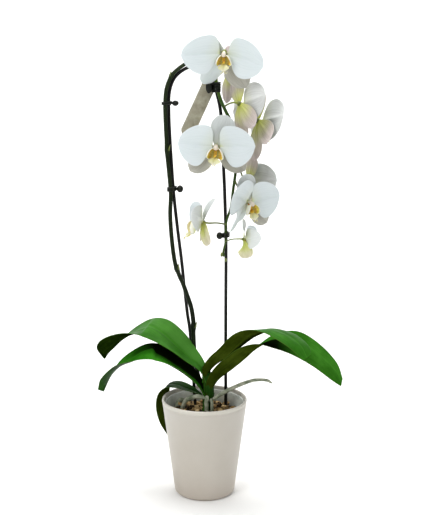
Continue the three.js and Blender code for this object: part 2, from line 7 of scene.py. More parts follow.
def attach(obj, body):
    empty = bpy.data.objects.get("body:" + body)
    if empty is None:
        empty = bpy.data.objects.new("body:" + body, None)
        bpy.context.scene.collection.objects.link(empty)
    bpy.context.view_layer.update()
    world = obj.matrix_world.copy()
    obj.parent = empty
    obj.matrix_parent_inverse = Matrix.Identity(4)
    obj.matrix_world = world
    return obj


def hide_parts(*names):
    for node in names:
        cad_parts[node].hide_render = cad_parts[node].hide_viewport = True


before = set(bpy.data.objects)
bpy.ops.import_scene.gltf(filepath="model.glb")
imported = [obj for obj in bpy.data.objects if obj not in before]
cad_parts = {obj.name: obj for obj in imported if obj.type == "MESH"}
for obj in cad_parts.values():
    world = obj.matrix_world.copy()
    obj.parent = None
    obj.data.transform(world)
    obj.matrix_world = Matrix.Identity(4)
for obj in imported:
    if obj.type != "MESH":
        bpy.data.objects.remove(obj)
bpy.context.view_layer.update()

milli = 0.001  # sizes and places below are in millimetres


def clearSelection():
    if bpy.context.object and bpy.context.object.mode != "OBJECT":
        bpy.ops.object.mode_set(mode="OBJECT")
    bpy.ops.object.select_all(action="DESELECT")


def makeActive(obj):
    clearSelection()
    obj.select_set(True)
    bpy.context.view_layer.objects.active = obj


def linearColour(hexCode):  # sRGB hex to the linear values a shader wants
    parts = [int(hexCode[i:i + 2], 16) / 255 for i in (1, 3, 5)]
    return [c / 12.92 if c <= 0.04045 else ((c + 0.055) / 1.055) ** 2.4 for c in parts] + [1.0]


def socketOf(sockets, key):  # by number, or by name among the sockets in use
    if isinstance(key, int):
        return sockets[key]
    return next(socket for socket in sockets if socket.enabled and socket.name == key)


def wire(node, sources):  # a source is a socket, or a node that gives its first output in use
    for key, source in sources.items():
        if hasattr(source, "outputs"):
            source = next(socket for socket in source.outputs if socket.enabled)
        node.id_data.links.new(source, socketOf(node.inputs, key))


def addNode(tree, kind, settings={}, sources={}):
    node = tree.nodes.new("ShaderNode" + kind)
    for name, value in settings.items():
        if name == "stops":
            stops = node.color_ramp.elements
            while len(stops) < len(value):
                stops.new(0.5)
            for stop, (place, colour) in zip(stops, value):
                stop.position = place
                stop.color = linearColour(colour)
        elif isinstance(name, str) and hasattr(node, name):
            setattr(node, name, value)
        else:
            socketOf(node.inputs, name).default_value = value
    wire(node, sources)
    return node


def newMaterial(name, sockets):  # with its tree, its shader and the coordinates its patterns read
    material = bpy.data.materials.new(name)
    material.use_nodes = True
    tree = material.node_tree
    shader = tree.nodes["Principled BSDF"]
    for socket, value in sockets.items():
        shader.inputs[socket].default_value = value
    return material, tree, shader, addNode(tree, "TexCoord").outputs


# the smooth curve through points that the CAD lays its stems and leaf edges along
def splinePoint(points, t):
    place = max(0.0, min(1.0, t)) * (len(points) - 1)
    i = min(int(place), len(points) - 2)
    w = place - i
    p1, p2 = Vector(points[i]), Vector(points[i + 1])
    p0 = Vector(points[i - 1]) if i > 0 else 2 * p1 - p2
    p3 = Vector(points[i + 2]) if i + 2 < len(points) else 2 * p2 - p1
    a, b = (p2 - p0) / 2, (p3 - p1) / 2
    return p1 + a * w + (3 * (p2 - p1) - 2 * a - b) * w * w + (2 * (p1 - p2) + a + b) * w ** 3


def listAt(values, t):  # straight between evenly spaced values
    place = max(0.0, min(1.0, t)) * (len(values) - 1)
    i = min(int(place), len(values) - 2)
    return values[i] + (values[i + 1] - values[i]) * (place - i)


def curveAt(pairs, s):  # smooth through a short list of (place, value)
    i = 0
    while i < len(pairs) - 2 and s > pairs[i + 1][0]:
        i += 1
    (x1, y1), (x2, y2) = pairs[i], pairs[i + 1]
    x0, y0 = pairs[i - 1] if i > 0 else (x1, y1)
    x3, y3 = pairs[i + 2] if i + 2 < len(pairs) else (x2, y2)
    m1 = (y2 - y0) / (x2 - x0) * (x2 - x1)
    m2 = (y3 - y1) / (x3 - x1) * (x2 - x1)
    w = max(0.0, min(1.0, (s - x1) / (x2 - x1)))
    return (y1 + m1 * w + (3 * (y2 - y1) - 2 * m1 - m2) * w * w
            + (2 * (y1 - y2) + m1 + m2) * w ** 3)


def bump(x, middle, width):  # 1 at the middle, falling to nothing a few widths away
    return math.exp(-(((x - middle) / width) ** 2))


# a grid primitive whose corner (u, v) moves to surface(u, v): u from 0 to 1 along it, v from -1
# to 1 across it
def gridPiece(name, surface, along, across):
    clearSelection()
    bpy.ops.mesh.primitive_grid_add(x_subdivisions=across, y_subdivisions=along, size=1)
    obj = bpy.context.object
    obj.name = name
    for vertex in obj.data.vertices:
        vertex.co = surface(vertex.co.y + 0.5, 2 * vertex.co.x) * milli
    return obj


def applyModifiers(obj):
    makeActive(obj)
    for modifier in list(obj.modifiers):
        bpy.ops.object.modifier_apply(modifier=modifier.name)


# gives a bent grid its thickness, down to edgeShare of it at the margin and over the last sixth
# of its length, and a material on each face
def thickenSheet(obj, along, across, thickness, edgeShare, faces):
    tipPart, leastShare = 6, 0.02
    group = obj.vertex_groups.new(name="body")
    for vertex in obj.data.vertices:
        row, column = divmod(vertex.index, across + 1)
        v = 2 * column / across - 1
        middle = (1 - abs(v) ** 3) * min(1.0, (1 - row / along) * tipPart)
        group.add([vertex.index], edgeShare + (1 - edgeShare) * middle, "REPLACE")
    for material in faces:
        obj.data.materials.append(material)
    shell = obj.modifiers.new("thickness", "SOLIDIFY")
    shell.thickness = thickness * milli
    shell.offset = 0
    shell.vertex_group = "body"
    shell.thickness_vertex_group = leastShare
    shell.material_offset = len(faces) - 1
    rounding = obj.modifiers.new("rounding", "SUBSURF")
    rounding.levels = rounding.render_levels = 1
    applyModifiers(obj)
    obj.vertex_groups.clear()
    bpy.ops.object.shade_smooth()
    return obj


def closeShape(obj):  # merges a rolled grid's seam, fills its ends and turns its faces out
    makeActive(obj)
    bpy.ops.object.mode_set(mode="EDIT")
    bpy.ops.mesh.select_all(action="SELECT")
    bpy.ops.mesh.remove_doubles(threshold=milli / 1000)
    bpy.ops.mesh.fill_holes(sides=0)
    bpy.ops.mesh.select_all(action="SELECT")
    bpy.ops.mesh.normals_make_consistent(inside=False)
    bpy.ops.object.mode_set(mode="OBJECT")
    bpy.ops.object.shade_smooth()
    return obj


# a stem: a grid rolled up round a path, radiusAt(t, turn) from its middle
def stemPiece(name, points, radiusAt, sides, steps, material):
    spots = [splinePoint(points, i / steps) for i in range(steps + 1)]
    frames = []
    for i in range(steps + 1):
        ahead = (spots[min(i + 1, steps)] - spots[max(i - 1, 0)]).normalized()
        normal = frames[-1][0] if frames else ahead.orthogonal().normalized()
        normal = (normal - ahead * normal.dot(ahead)).normalized()
        frames.append((normal, ahead.cross(normal)))

    def surface(t, v):
        i = round(t * steps)
        turn = math.pi * v
        reach = radiusAt(t, turn)
        right, up = frames[i]
        return spots[i] + right * reach * math.cos(turn) + up * reach * math.sin(turn)

    obj = gridPiece(name, surface, steps, sides)
    obj.data.materials.append(material)
    return closeShape(obj)


# an egg: a grid rolled up round an upright middle, width(tilt, turn) across, tall up and down
def eggPiece(name, middle, width, tall, along, across, material):
    def surface(t, v):
        tilt, turn = math.pi * (t - 0.5), math.pi * v
        reach = width(tilt, turn)
        return middle + Vector((reach * math.cos(turn), reach * math.sin(turn),
                                tall * math.sin(tilt)))

    obj = gridPiece(name, surface, along, across)
    obj.data.materials.append(material)
    return closeShape(obj)


def joinPieces(name, pieces):
    clearSelection()
    for piece in pieces:
        piece.select_set(True)
    bpy.context.view_layer.objects.active = pieces[0]
    bpy.ops.object.join()
    pieces[0].name = name
    return pieces[0]


def copyPiece(source, name, matrix):  # a copy with its own mesh, put in its place by the matrix
    piece = source.copy()
    piece.data = source.data.copy()
    piece.data.transform(matrix)
    piece.name = name
    bpy.context.scene.collection.objects.link(piece)
    return piece


def settle(piece, slotName, *nodes):  # hands a finished piece to the frame
    makeActive(piece)
    bpy.ops.object.transform_apply(location=True, rotation=True, scale=True)
    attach(piece, "root")
    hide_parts(*nodes)


# camera, lights and floor
studio = {
    "lens": 70, "sensorHeight": 36, "place": (12, -1440, 642), "tipDown": 11,
    "lamps": {
        "key": {"place": (-1200, -1500, 1900), "aim": (0, 0, 350), "size": 1300, "power": 30},
        "fill": {"place": (1700, -1100, 1000), "aim": (0, 0, 350), "size": 1600, "power": 8},
        "backdropLamp": {"place": (0, 700, 2600), "aim": (0, 2300, 500), "size": 2400, "power": 75},
    },
    "sky": "#ffffff", "skyStrength": 0.42,
}

camera = bpy.data.objects.new("camera", bpy.data.cameras.new("camera"))
bpy.context.scene.collection.objects.link(camera)
camera.data.sensor_fit = "VERTICAL"
camera.data.sensor_height = studio["sensorHeight"]
camera.data.lens = studio["lens"]
camera.location = Vector(studio["place"]) * milli
camera.rotation_euler = (math.radians(90 - studio["tipDown"]), 0, 0)
bpy.context.scene.camera = camera
bpy.context.scene.view_settings.view_transform = "Standard"

for lampName, lamp in studio["lamps"].items():
    light = bpy.data.lights.new(lampName, "AREA")
    light.shape = "DISK"
    light.size = lamp["size"] * milli
    light.energy = lamp["power"]
    holder = bpy.data.objects.new(lampName, light)
    bpy.context.scene.collection.objects.link(holder)
    holder.location = Vector(lamp["place"]) * milli
    aim = Vector(lamp["aim"]) * milli - holder.location
    holder.rotation_euler = aim.to_track_quat("-Z", "Y").to_euler()

sky = bpy.data.worlds.new("softSky")
sky.use_nodes = True
background = sky.node_tree.nodes["Background"]
background.inputs["Color"].default_value = linearColour(studio["sky"])
background.inputs["Strength"].default_value = studio["skyStrength"]
bpy.context.scene.world = sky

backdropSpec = {"front": -4000, "turn": 1500, "height": 3600, "width": 9000, "curve": 900,
                "rows": 40}


def hangBackdrop():  # one roll of paper, flat under the pot and curving up behind it
    s = backdropSpec
    clearSelection()
    bpy.ops.mesh.primitive_grid_add(x_subdivisions=2, y_subdivisions=s["rows"], size=1)
    roll = bpy.context.object
    roll.name = "floor"
    bend = s["curve"] * math.pi / 2
    flat = s["turn"] - s["front"]
    for vertex in roll.data.vertices:
        run = math.sqrt(vertex.co.y + 0.5) * (flat + bend + s["height"])  # closer rows to the back
        turn = min(max(run - flat, 0) / s["curve"], math.pi / 2)
        up = max(run - flat - bend, 0)
        y = s["front"] + min(run, flat) + s["curve"] * math.sin(turn)
        z = s["curve"] * (1 - math.cos(turn)) + up
        vertex.co = Vector((vertex.co.x * s["width"], y, z)) * milli
    bpy.ops.object.shade_smooth()
    return roll


floor = hangBackdrop()
# backdrop paper: matt and white. The tooth of its fibres, really 0.1 mm, is drawn 1 mm and faint
paper, tree, shader, where = newMaterial("backdropPaper",
                                         {"Roughness": 0.9, "Specular IOR Level": 0.2})
tooth = addNode(tree, "TexNoise", {"Scale": 900, "Detail": 3}, {"Vector": where["Object"]})
tone = addNode(tree, "ValToRGB", {"stops": [(0.3, "#f7f7f6"), (0.7, "#fbfbfa")]}, {"Fac": tooth})
wire(shader, {"Base Color": tone})
floor.data.materials.append(paper)
print("camera, lights and floor")

# materials: a noise on Object coordinates has a grain of about 1000 / Scale millimetres

# polypropylene cover pot: injection moulded with a satin skin, so it has a broad soft highlight
# and is slightly cloudy, in clouds of 70 mm. The mould's orange peel, really finer, is drawn
# 1.4 mm. It is warmer towards its base, and its rim is painted paler, a painted highlight
potPlastic, tree, shader, where = newMaterial(
    "mouldedPolypropylene", {"IOR": 1.49, "Coat Weight": 0.12, "Coat Roughness": 0.35})
cloud = addNode(tree, "TexNoise", {"Scale": 14, "Detail": 4, "Roughness": 0.6},
                {"Vector": where["Object"]})
body = addNode(tree, "ValToRGB", {"stops": [(0.32, "#cdcac5"), (0.68, "#d3d1ce")]}, {"Fac": cloud})
split = addNode(tree, "SeparateXYZ", {}, {"Vector": where["Object"]})
rise = addNode(tree, "MapRange", {"From Max": 147 * milli}, {"Value": split.outputs["Z"]})
# the last stop paints a highlight along the rim
tone = addNode(tree, "ValToRGB", {"stops": [(0.0, "#dcd3c8"), (0.3, "#e4dfd6"),
                                            (0.945, "#e4e1da"), (0.97, "#f4f2ea")]}, {"Fac": rise})
mixed = addNode(tree, "Mix", {"data_type": "RGBA", "blend_type": "MULTIPLY", "Factor": 1},
                {"A": body, "B": tone})
gloss = addNode(tree, "MapRange", {"To Min": 0.36, "To Max": 0.5}, {"Value": cloud})
grit = addNode(tree, "TexNoise", {"Scale": 700}, {"Vector": where["Object"]})
peel = addNode(tree, "Bump", {"Strength": 0.05, "Distance": 0.3 * milli}, {"Height": grit})
wire(shader, {"Base Color": mixed, "Roughness": gloss, "Normal": peel})

# the inner grow pot: thin vacuum-formed PET, glossy and hazy, with water marks 22 mm wide
linerPlastic, tree, shader, where = newMaterial(
    "clearHazyPet", {"IOR": 1.57, "Coat Weight": 0.3, "Coat Roughness": 0.08})
stain = addNode(tree, "TexNoise", {"Scale": 45, "Detail": 5, "Roughness": 0.65, "Distortion": 0.6},
                {"Vector": where["Object"]})
haze = addNode(tree, "ValToRGB", {"stops": [(0.25, "#a9aea6"), (0.5, "#c4c9c1"),
                                            (0.75, "#dde0da")]}, {"Fac": stain})
gloss = addNode(tree, "MapRange", {"To Min": 0.12, "To Max": 0.34}, {"Value": stain})
wire(shader, {"Base Color": haze, "Roughness": gloss})

# pine bark chips: dry and layered, dark outside and orange where they broke, each its own tone,
# with flakes of 2.4 mm and layers of 11 mm
barkChip, tree, shader, where = newMaterial("pineBark",
                                            {"Specular IOR Level": 0.25, "Roughness": 0.88})
chipTone = addNode(tree, "Attribute", {"attribute_name": "chipTone"})
flake = addNode(tree, "TexNoise", {"Scale": 420, "Detail": 6, "Roughness": 0.7},
                {"Vector": where["Object"]})
layers = addNode(tree, "TexNoise", {"Scale": 90, "Detail": 3, "Distortion": 1.5},
                 {"Vector": where["Object"]})
flaked = addNode(tree, "Math", {"operation": "MULTIPLY_ADD", 1: 0.45},
                 {0: flake, 2: chipTone.outputs["Fac"]})
layered = addNode(tree, "Math", {"operation": "MULTIPLY_ADD", 1: 0.35}, {0: layers, 2: flaked})
wood = addNode(tree, "ValToRGB", {"stops": [(0.3, "#14110c"), (0.48, "#43341f"), (0.62, "#826a42"),
                                            (0.8, "#b6996a"), (1.0, "#d2bc90")]}, {"Fac": layered})
rough = addNode(tree, "Bump", {"Strength": 0.7, "Distance": 1.2 * milli}, {"Height": flake})
wire(shader, {"Base Color": wood, "Normal": rough})


# a living leaf: thick and waxy, blotched over 38 mm. Its veins run from foot to tip, 1.6 mm apart
# on a leaf 75 mm wide, so they follow the sheet's own map. A paler line marks the crease of the
# midrib, and the margin is yellower. A patch paints a flat colour into one half of the fold over
# part of its length: a painted shade where that half lies in shadow, a painted highlight where it
# catches the light
def leafTissue(name, tones, veinShade, skin, paintedLightPatch=None, veins=46, veinDepth=0.08):
    material, tree, shader, where = newMaterial(name, skin)
    split = addNode(tree, "SeparateXYZ", {}, {"Vector": where["UV"]})
    blotch = addNode(tree, "TexNoise", {"Scale": 26, "Detail": 4, "Roughness": 0.55},
                     {"Vector": where["Object"]})
    body = addNode(tree, "ValToRGB", {"stops": list(zip((0.28, 0.5, 0.74), tones))},
                   {"Fac": blotch})
    slow = addNode(tree, "Math", {"operation": "MULTIPLY", 1: 0.05}, {0: split.outputs["Y"]})
    strip = addNode(tree, "CombineXYZ", {}, {"X": split.outputs["X"], "Y": slow})
    vein = addNode(tree, "TexNoise", {"Scale": veins}, {"Vector": strip})
    veinTone = addNode(tree, "ValToRGB", {"stops": [(0.36, veinShade), (0.6, "#ffffff")]},
                       {"Fac": vein})
    mixed = addNode(tree, "Mix", {"data_type": "RGBA", "blend_type": "MULTIPLY", "Factor": 0.55},
                    {"A": body, "B": veinTone})
    off = addNode(tree, "Math", {"operation": "SUBTRACT", 1: 0.5}, {0: split.outputs["X"]})
    away = addNode(tree, "Math", {"operation": "ABSOLUTE"}, {0: off})
    rib = addNode(tree, "MapRange", {"From Min": 0.012, "From Max": 0.045, "To Min": 0.4,
                                     "To Max": 0}, {"Value": away})
    ribbed = addNode(tree, "Mix", {"data_type": "RGBA", "B": linearColour(tones[2])},
                     {"Factor": rib, "A": mixed})
    margin = addNode(tree, "MapRange", {"From Min": 0.475, "From Max": 0.5, "To Max": 0.5},
                     {"Value": away})
    leaf = addNode(tree, "Mix", {"data_type": "RGBA", "B": linearColour("#557a30")},
                   {"Factor": margin, "A": ribbed})
    # the patch mixes a flat colour into the leaf: painted shade or a painted highlight on one half
    # of the fold
    if paintedLightPatch:
        sideways = addNode(tree, "ValToRGB", {"stops": paintedLightPatch["across"]},
                           {"Fac": split.outputs["X"]})
        lengthways = addNode(tree, "ValToRGB", {"stops": paintedLightPatch["along"]},
                             {"Fac": split.outputs["Y"]})
        paintedLightMask = addNode(tree, "Math", {"operation": "MULTIPLY"}, {0: sideways, 1: lengthways})
        leaf = addNode(tree, "Mix", {"data_type": "RGBA", "B": linearColour(paintedLightPatch["shade"])},
                       {"Factor": paintedLightMask, "A": leaf})
    gloss = addNode(tree, "MapRange", {"To Min": skin["Roughness"] - 0.06,
                                       "To Max": skin["Roughness"] + 0.08}, {"Value": blotch})
    ridges = addNode(tree, "Bump", {"Strength": veinDepth, "Distance": 0.6 * milli},
                     {"Height": vein})
    wire(shader, {"Base Color": leaf, "Roughness": gloss, "Normal": ridges})
    return material


topSkin = {"Roughness": 0.45, "Specular IOR Level": 0.03, "Coat Weight": 0.01,
           "Coat Roughness": 0.2}
foldSkin = {"Roughness": 0.5, "Specular IOR Level": 0}
underSkin = {"Roughness": 0.6, "Specular IOR Level": 0}
sheathSkin = {"Roughness": 0.5, "Specular IOR Level": 0.05}
leafTop = leafTissue("waxyLeafTop", ("#25590f", "#316b18", "#407f25"), "#a5c49c", topSkin)
# the upper left leaf's top with a painted highlight: the back half near its foot is mixed towards a
# pale green sheen
paintedSheenLeafTop = leafTissue(
    "waxyLeafTopPaintedSheen", ("#265a0f", "#316a17", "#417f24"), "#a5c49c", topSkin,
    {"shade": "#528a3a", "across": [(0.5, "#000000"), (0.62, "#d0d0d0")],
     "along": [(0.05, "#ffffff"), (0.3, "#e0e0e0"), (0.55, "#000000")]})
# the lower left leaf's top with painted shade: the far half of its fold, under the leaf above, is
# painted near black over most of its length
paintedFoldShadeLeafTop = leafTissue(
    "waxyLeafTopPaintedFoldShade", ("#1e560c", "#2a6a15", "#397f20"), "#a5c49c", foldSkin,
    {"shade": "#081002", "across": [(0.46, "#000000"), (0.56, "#ffffff")],
     "along": [(0.0, "#ffffff"), (0.5, "#ffffff"), (0.68, "#000000")]})
# the right leaf's top with a painted shadow: the front half of its middle stretch, under the upper
# right leaf, is painted near black
paintedShadowLeafTop = leafTissue(
    "waxyLeafTopPaintedShadow", ("#255710", "#31691a", "#407d27"), "#a5c49c", foldSkin,
    {"shade": "#081002", "across": [(0.42, "#ffffff"), (0.54, "#000000")],
     "along": [(0.36, "#000000"), (0.42, "#ffffff"), (0.62, "#ffffff"), (0.74, "#000000")]})
# leaf undersides: dark olive, partly their own matt colour and partly painted shade for the shadow
# they hang in
leafUnderPaintedShade = leafTissue("mattLeafUndersidePaintedShade", ("#202a04", "#2e3b09", "#404f14"), "#8f9f78",
                       underSkin, veinDepth=0.1)
# a still darker underside for the upper left leaf's curled tip: painted shade
leafUnderDeepPaintedShade = leafTissue("darkLeafUndersidePaintedShade", ("#0d1a03", "#172804", "#26380a"), "#8f9f78",
                           underSkin, veinDepth=0.1)
# the crown's sheaths: dark green, partly their own and partly painted shade; the same dark tissue
# is painted shade on the lower left leaf's underside and on the back left leaf's top
sheathAndPaintedShade = leafTissue("darkLeafSheathPaintedShade", ("#132d07", "#1d430d", "#2f5f17"), "#8f9f78",
                        sheathSkin, veins=20, veinDepth=0.15)

# the green stem of the spike: smooth, mottled over 6 mm, with pale specks 1.6 mm apart, dark and
# waxy low down and a lighter olive past the top of the arch, which its map carries end to end. Its
# near-black green up to the top of the arch is partly a painted shade
stemTissue, tree, shader, where = newMaterial("greenSpikeStem", {
    "Coat Weight": 0.02, "Coat Roughness": 0.3, "Specular IOR Level": 0.12, "Roughness": 0.42})
split = addNode(tree, "SeparateXYZ", {}, {"Vector": where["UV"]})
lengthTone = addNode(tree, "ValToRGB", {"stops": [
    (0.0, "#141f0d"), (0.12, "#10180b"), (0.45, "#1d2913"), (0.6, "#22301a"), (0.665, "#54701c"),
    (0.7, "#33501f"), (0.9, "#33491f"), (1.0, "#4c6230")]}, {"Fac": split.outputs["Y"]})
mottle = addNode(tree, "TexNoise", {"Scale": 160, "Detail": 4, "Roughness": 0.6},
                 {"Vector": where["Object"]})
mottleTone = addNode(tree, "ValToRGB", {"stops": [(0.3, "#b5b8a0"), (0.6, "#ffffff")]},
                     {"Fac": mottle})
mixed = addNode(tree, "Mix", {"data_type": "RGBA", "blend_type": "MULTIPLY", "Factor": 0.7},
                {"A": lengthTone, "B": mottleTone})
speck = addNode(tree, "TexVoronoi", {"Scale": 620}, {"Vector": where["Object"]})
dots = addNode(tree, "MapRange", {"From Min": 0.1, "From Max": 0.22, "To Min": 0.45, "To Max": 0},
               {"Value": speck})
dotted = addNode(tree, "Mix", {"data_type": "RGBA", "B": linearColour("#6d7d4c")},
                 {"Factor": dots, "A": mixed})
skin = addNode(tree, "Bump", {"Strength": 0.15, "Distance": 0.4 * milli}, {"Height": mottle})
wire(shader, {"Base Color": dotted, "Normal": skin})

# flower stalks: thin, smooth and grained over 4 mm, dark green where they leave the spike and
# yellow-green where they meet the flower
stalkTissue, tree, shader, where = newMaterial("yellowGreenStalk",
                                               {"Roughness": 0.45, "Coat Weight": 0.15})
split = addNode(tree, "SeparateXYZ", {}, {"Vector": where["UV"]})
lengthTone = addNode(tree, "ValToRGB", {"stops": [
    (0.0, "#4c5c22"), (0.4, "#6c7a34"), (0.8, "#8f9a48"), (1.0, "#a8ae62")]},
    {"Fac": split.outputs["Y"]})
grain = addNode(tree, "TexNoise", {"Scale": 260, "Detail": 3}, {"Vector": where["Object"]})
grainTone = addNode(tree, "ValToRGB", {"stops": [(0.3, "#c2bda8"), (0.65, "#ffffff")]},
                    {"Fac": grain})
mixed = addNode(tree, "Mix", {"data_type": "RGBA", "blend_type": "MULTIPLY", "Factor": 0.8},
                {"A": lengthTone, "B": grainTone})
wire(shader, {"Base Color": mixed})

# velamen, the spongy silver skin of an aerial root: matt, rubbed through to green and brown in
# patches of 9 mm. Its pores, really 0.2 mm, are drawn 1 mm
rootSkin, tree, shader, where = newMaterial("velamenRootSkin",
                                            {"Roughness": 0.78, "Specular IOR Level": 0.3})
patches = addNode(tree, "TexNoise", {"Scale": 110, "Detail": 5, "Roughness": 0.6},
                  {"Vector": where["Object"]})
tone = addNode(tree, "ValToRGB", {"stops": [(0.28, "#57604a"), (0.45, "#7f8772"), (0.6, "#a7aa96"),
                                            (0.78, "#cac9b7")]}, {"Fac": patches})
pores = addNode(tree, "TexNoise", {"Scale": 900, "Detail": 3}, {"Vector": where["Object"]})
skin = addNode(tree, "Bump", {"Strength": 0.4, "Distance": 0.5 * milli}, {"Height": pores})
wire(shader, {"Base Color": tone, "Normal": skin})

# polyethylene sleeve over the steel wire: black, drawn, with a low gloss and scuffs of 4.5 mm
hoopSleeve, tree, shader, where = newMaterial("blackPolyethyleneSleeve",
                                              {"Specular IOR Level": 0.25})
scuff = addNode(tree, "TexNoise", {"Scale": 220, "Detail": 4, "Roughness": 0.7},
                {"Vector": where["Object"]})
black = addNode(tree, "ValToRGB", {"stops": [(0.35, "#040404"), (0.75, "#100f0e")]},
                {"Fac": scuff})
gloss = addNode(tree, "MapRange", {"To Min": 0.28, "To Max": 0.5}, {"Value": scuff})
wire(shader, {"Base Color": black, "Roughness": gloss})

# nylon clips: moulded near black with a green cast, and a grip whose grain, really finer, is
# drawn 1.25 mm
clipNylon, tree, shader, where = newMaterial("blackGreenNylon",
                                             {"Specular IOR Level": 0.25, "Roughness": 0.42})
grain = addNode(tree, "TexNoise", {"Scale": 800}, {"Vector": where["Object"]})
black = addNode(tree, "ValToRGB", {"stops": [(0.3, "#060804"), (0.75, "#161b10")]}, {"Fac": grain})
skin = addNode(tree, "Bump", {"Strength": 0.3, "Distance": 0.3 * milli}, {"Height": grain})
wire(shader, {"Base Color": black, "Normal": skin})

# the plant label: thin polystyrene, gone grey with water and handling and darker still with painted
# shade, mottled over 14 mm and left bare
labelPlastic, tree, shader, where = newMaterial("weatheredPolystyreneLabelPaintedShade",
                                                {"Roughness": 0.5, "IOR": 1.59})
mottle = addNode(tree, "TexNoise", {"Scale": 70, "Detail": 6, "Roughness": 0.7, "Distortion": 0.4},
                 {"Vector": where["Object"]})
tone = addNode(tree, "ValToRGB", {"stops": [(0.3, "#827d69"), (0.5, "#9a9682"),
                                            (0.72, "#b3af9c")]}, {"Fac": mottle})
skin = addNode(tree, "Bump", {"Strength": 0.15, "Distance": 0.4 * milli}, {"Height": mottle})
wire(shader, {"Base Color": tone, "Normal": skin})

softSkin = {"Roughness": 0.55, "Subsurface Weight": 0.2, "Subsurface Radius": (0.9, 1.0, 0.9),
            "Subsurface Scale": 1.5 * milli, "Sheen Weight": 0.05, "Specular IOR Level": 0.25}


# petal tissue: thin, soft and crystalline. Light sinks a little way in. Hair-fine veins, drawn
# 2 mm apart, run up the tepal's own map, and its foot is stained yellow-green as far as reach, a
# share of its length. Its cells, really 0.1 mm, are drawn 0.7 mm. Shades go from foot to tip
def petalTissue(name, shades, veinShade, veinMix, reach):
    material, tree, shader, where = newMaterial(name, softSkin)
    split = addNode(tree, "SeparateXYZ", {}, {"Vector": where["UV"]})
    wander = addNode(tree, "TexNoise", {"Scale": 60}, {"Vector": where["Object"]})
    shift = addNode(tree, "Math", {"operation": "MULTIPLY_ADD", 1: 0.1, 2: -0.05}, {0: wander})
    nearFoot = addNode(tree, "Math", {"operation": "ADD"}, {0: split.outputs["Y"], 1: shift})
    off = addNode(tree, "Math", {"operation": "SUBTRACT", 1: 0.5}, {0: split.outputs["X"]})
    away = addNode(tree, "Math", {"operation": "ABSOLUTE"}, {0: off})
    along = addNode(tree, "Math", {"operation": "MULTIPLY_ADD", 1: 0.4 - reach},
                    {0: away, 2: nearFoot})
    places = (0.2 * reach, 1.1 * reach, 0.2 + 1.3 * reach, 1.0)
    body = addNode(tree, "ValToRGB", {"stops": list(zip(places, shades))}, {"Fac": along})
    slow = addNode(tree, "Math", {"operation": "MULTIPLY", 1: 0.07}, {0: split.outputs["Y"]})
    strip = addNode(tree, "CombineXYZ", {}, {"X": split.outputs["X"], "Y": slow})
    vein = addNode(tree, "TexNoise", {"Scale": 30, "Detail": 3, "Roughness": 0.6},
                   {"Vector": strip})
    veinTone = addNode(tree, "ValToRGB", {"stops": [(0.38, veinShade), (0.55, "#ffffff")]},
                       {"Fac": vein})
    mixed = addNode(tree, "Mix", {"data_type": "RGBA", "blend_type": "MULTIPLY",
                                  "Factor": veinMix}, {"A": body, "B": veinTone})
    cells = addNode(tree, "TexNoise", {"Scale": 1400}, {"Vector": where["Object"]})
    height = addNode(tree, "Math", {"operation": "MULTIPLY_ADD", 1: 0.25}, {0: cells, 2: vein})
    skin = addNode(tree, "Bump", {"Strength": 0.06, "Distance": 0.4 * milli}, {"Height": height})
    wire(shader, {"Base Color": mixed, "Normal": skin})
    return material


petalFace = petalTissue("whitePetalFace", ("#ccd4a8", "#d0d7d0", "#d2dadc", "#d4dcdf"), "#c3cbcf",
                        0.1, 0.06)
petalBack = petalTissue("greyPetalBack", ("#b0b86a", "#c4c6b6", "#c8cac8", "#cdcfce"), "#b4b2ae",
                        0.25, 0.1)
youngPetal = petalTissue("whiteYoungPetalBack", ("#b9c25c", "#d2d6bc", "#d8dcda", "#dce0e0"),
                         "#c2c6c2", 0.2, 0.14)
dorsalFace = petalTissue("whiteDorsalFace", ("#bdc492", "#c2c7be", "#c3c8c7", "#c9cecd"),
                         "#b6bab7", 0.2, 0.08)
# the lateral sepals' face: beige-grey, partly its own tint and partly painted shade from the petals
# over it
paintedShadeSepalFace = petalTissue("beigeSepalFacePaintedShade", ("#b6b97a", "#b4b39d", "#afada1", "#b7b5ad"),
                          "#9d9a90", 0.3, 0.1)
sepalBack = petalTissue("pinkSepalBack", ("#b3ba48", "#c6c986", "#c1b8ae", "#d0c2c5"), "#a79a93",
                        0.4, 0.2)
youngBack = petalTissue("greenYoungSepalBack", ("#a6b238", "#bfc668", "#cfcca6", "#d3c9be"),
                        "#aeb07e", 0.4, 0.24)


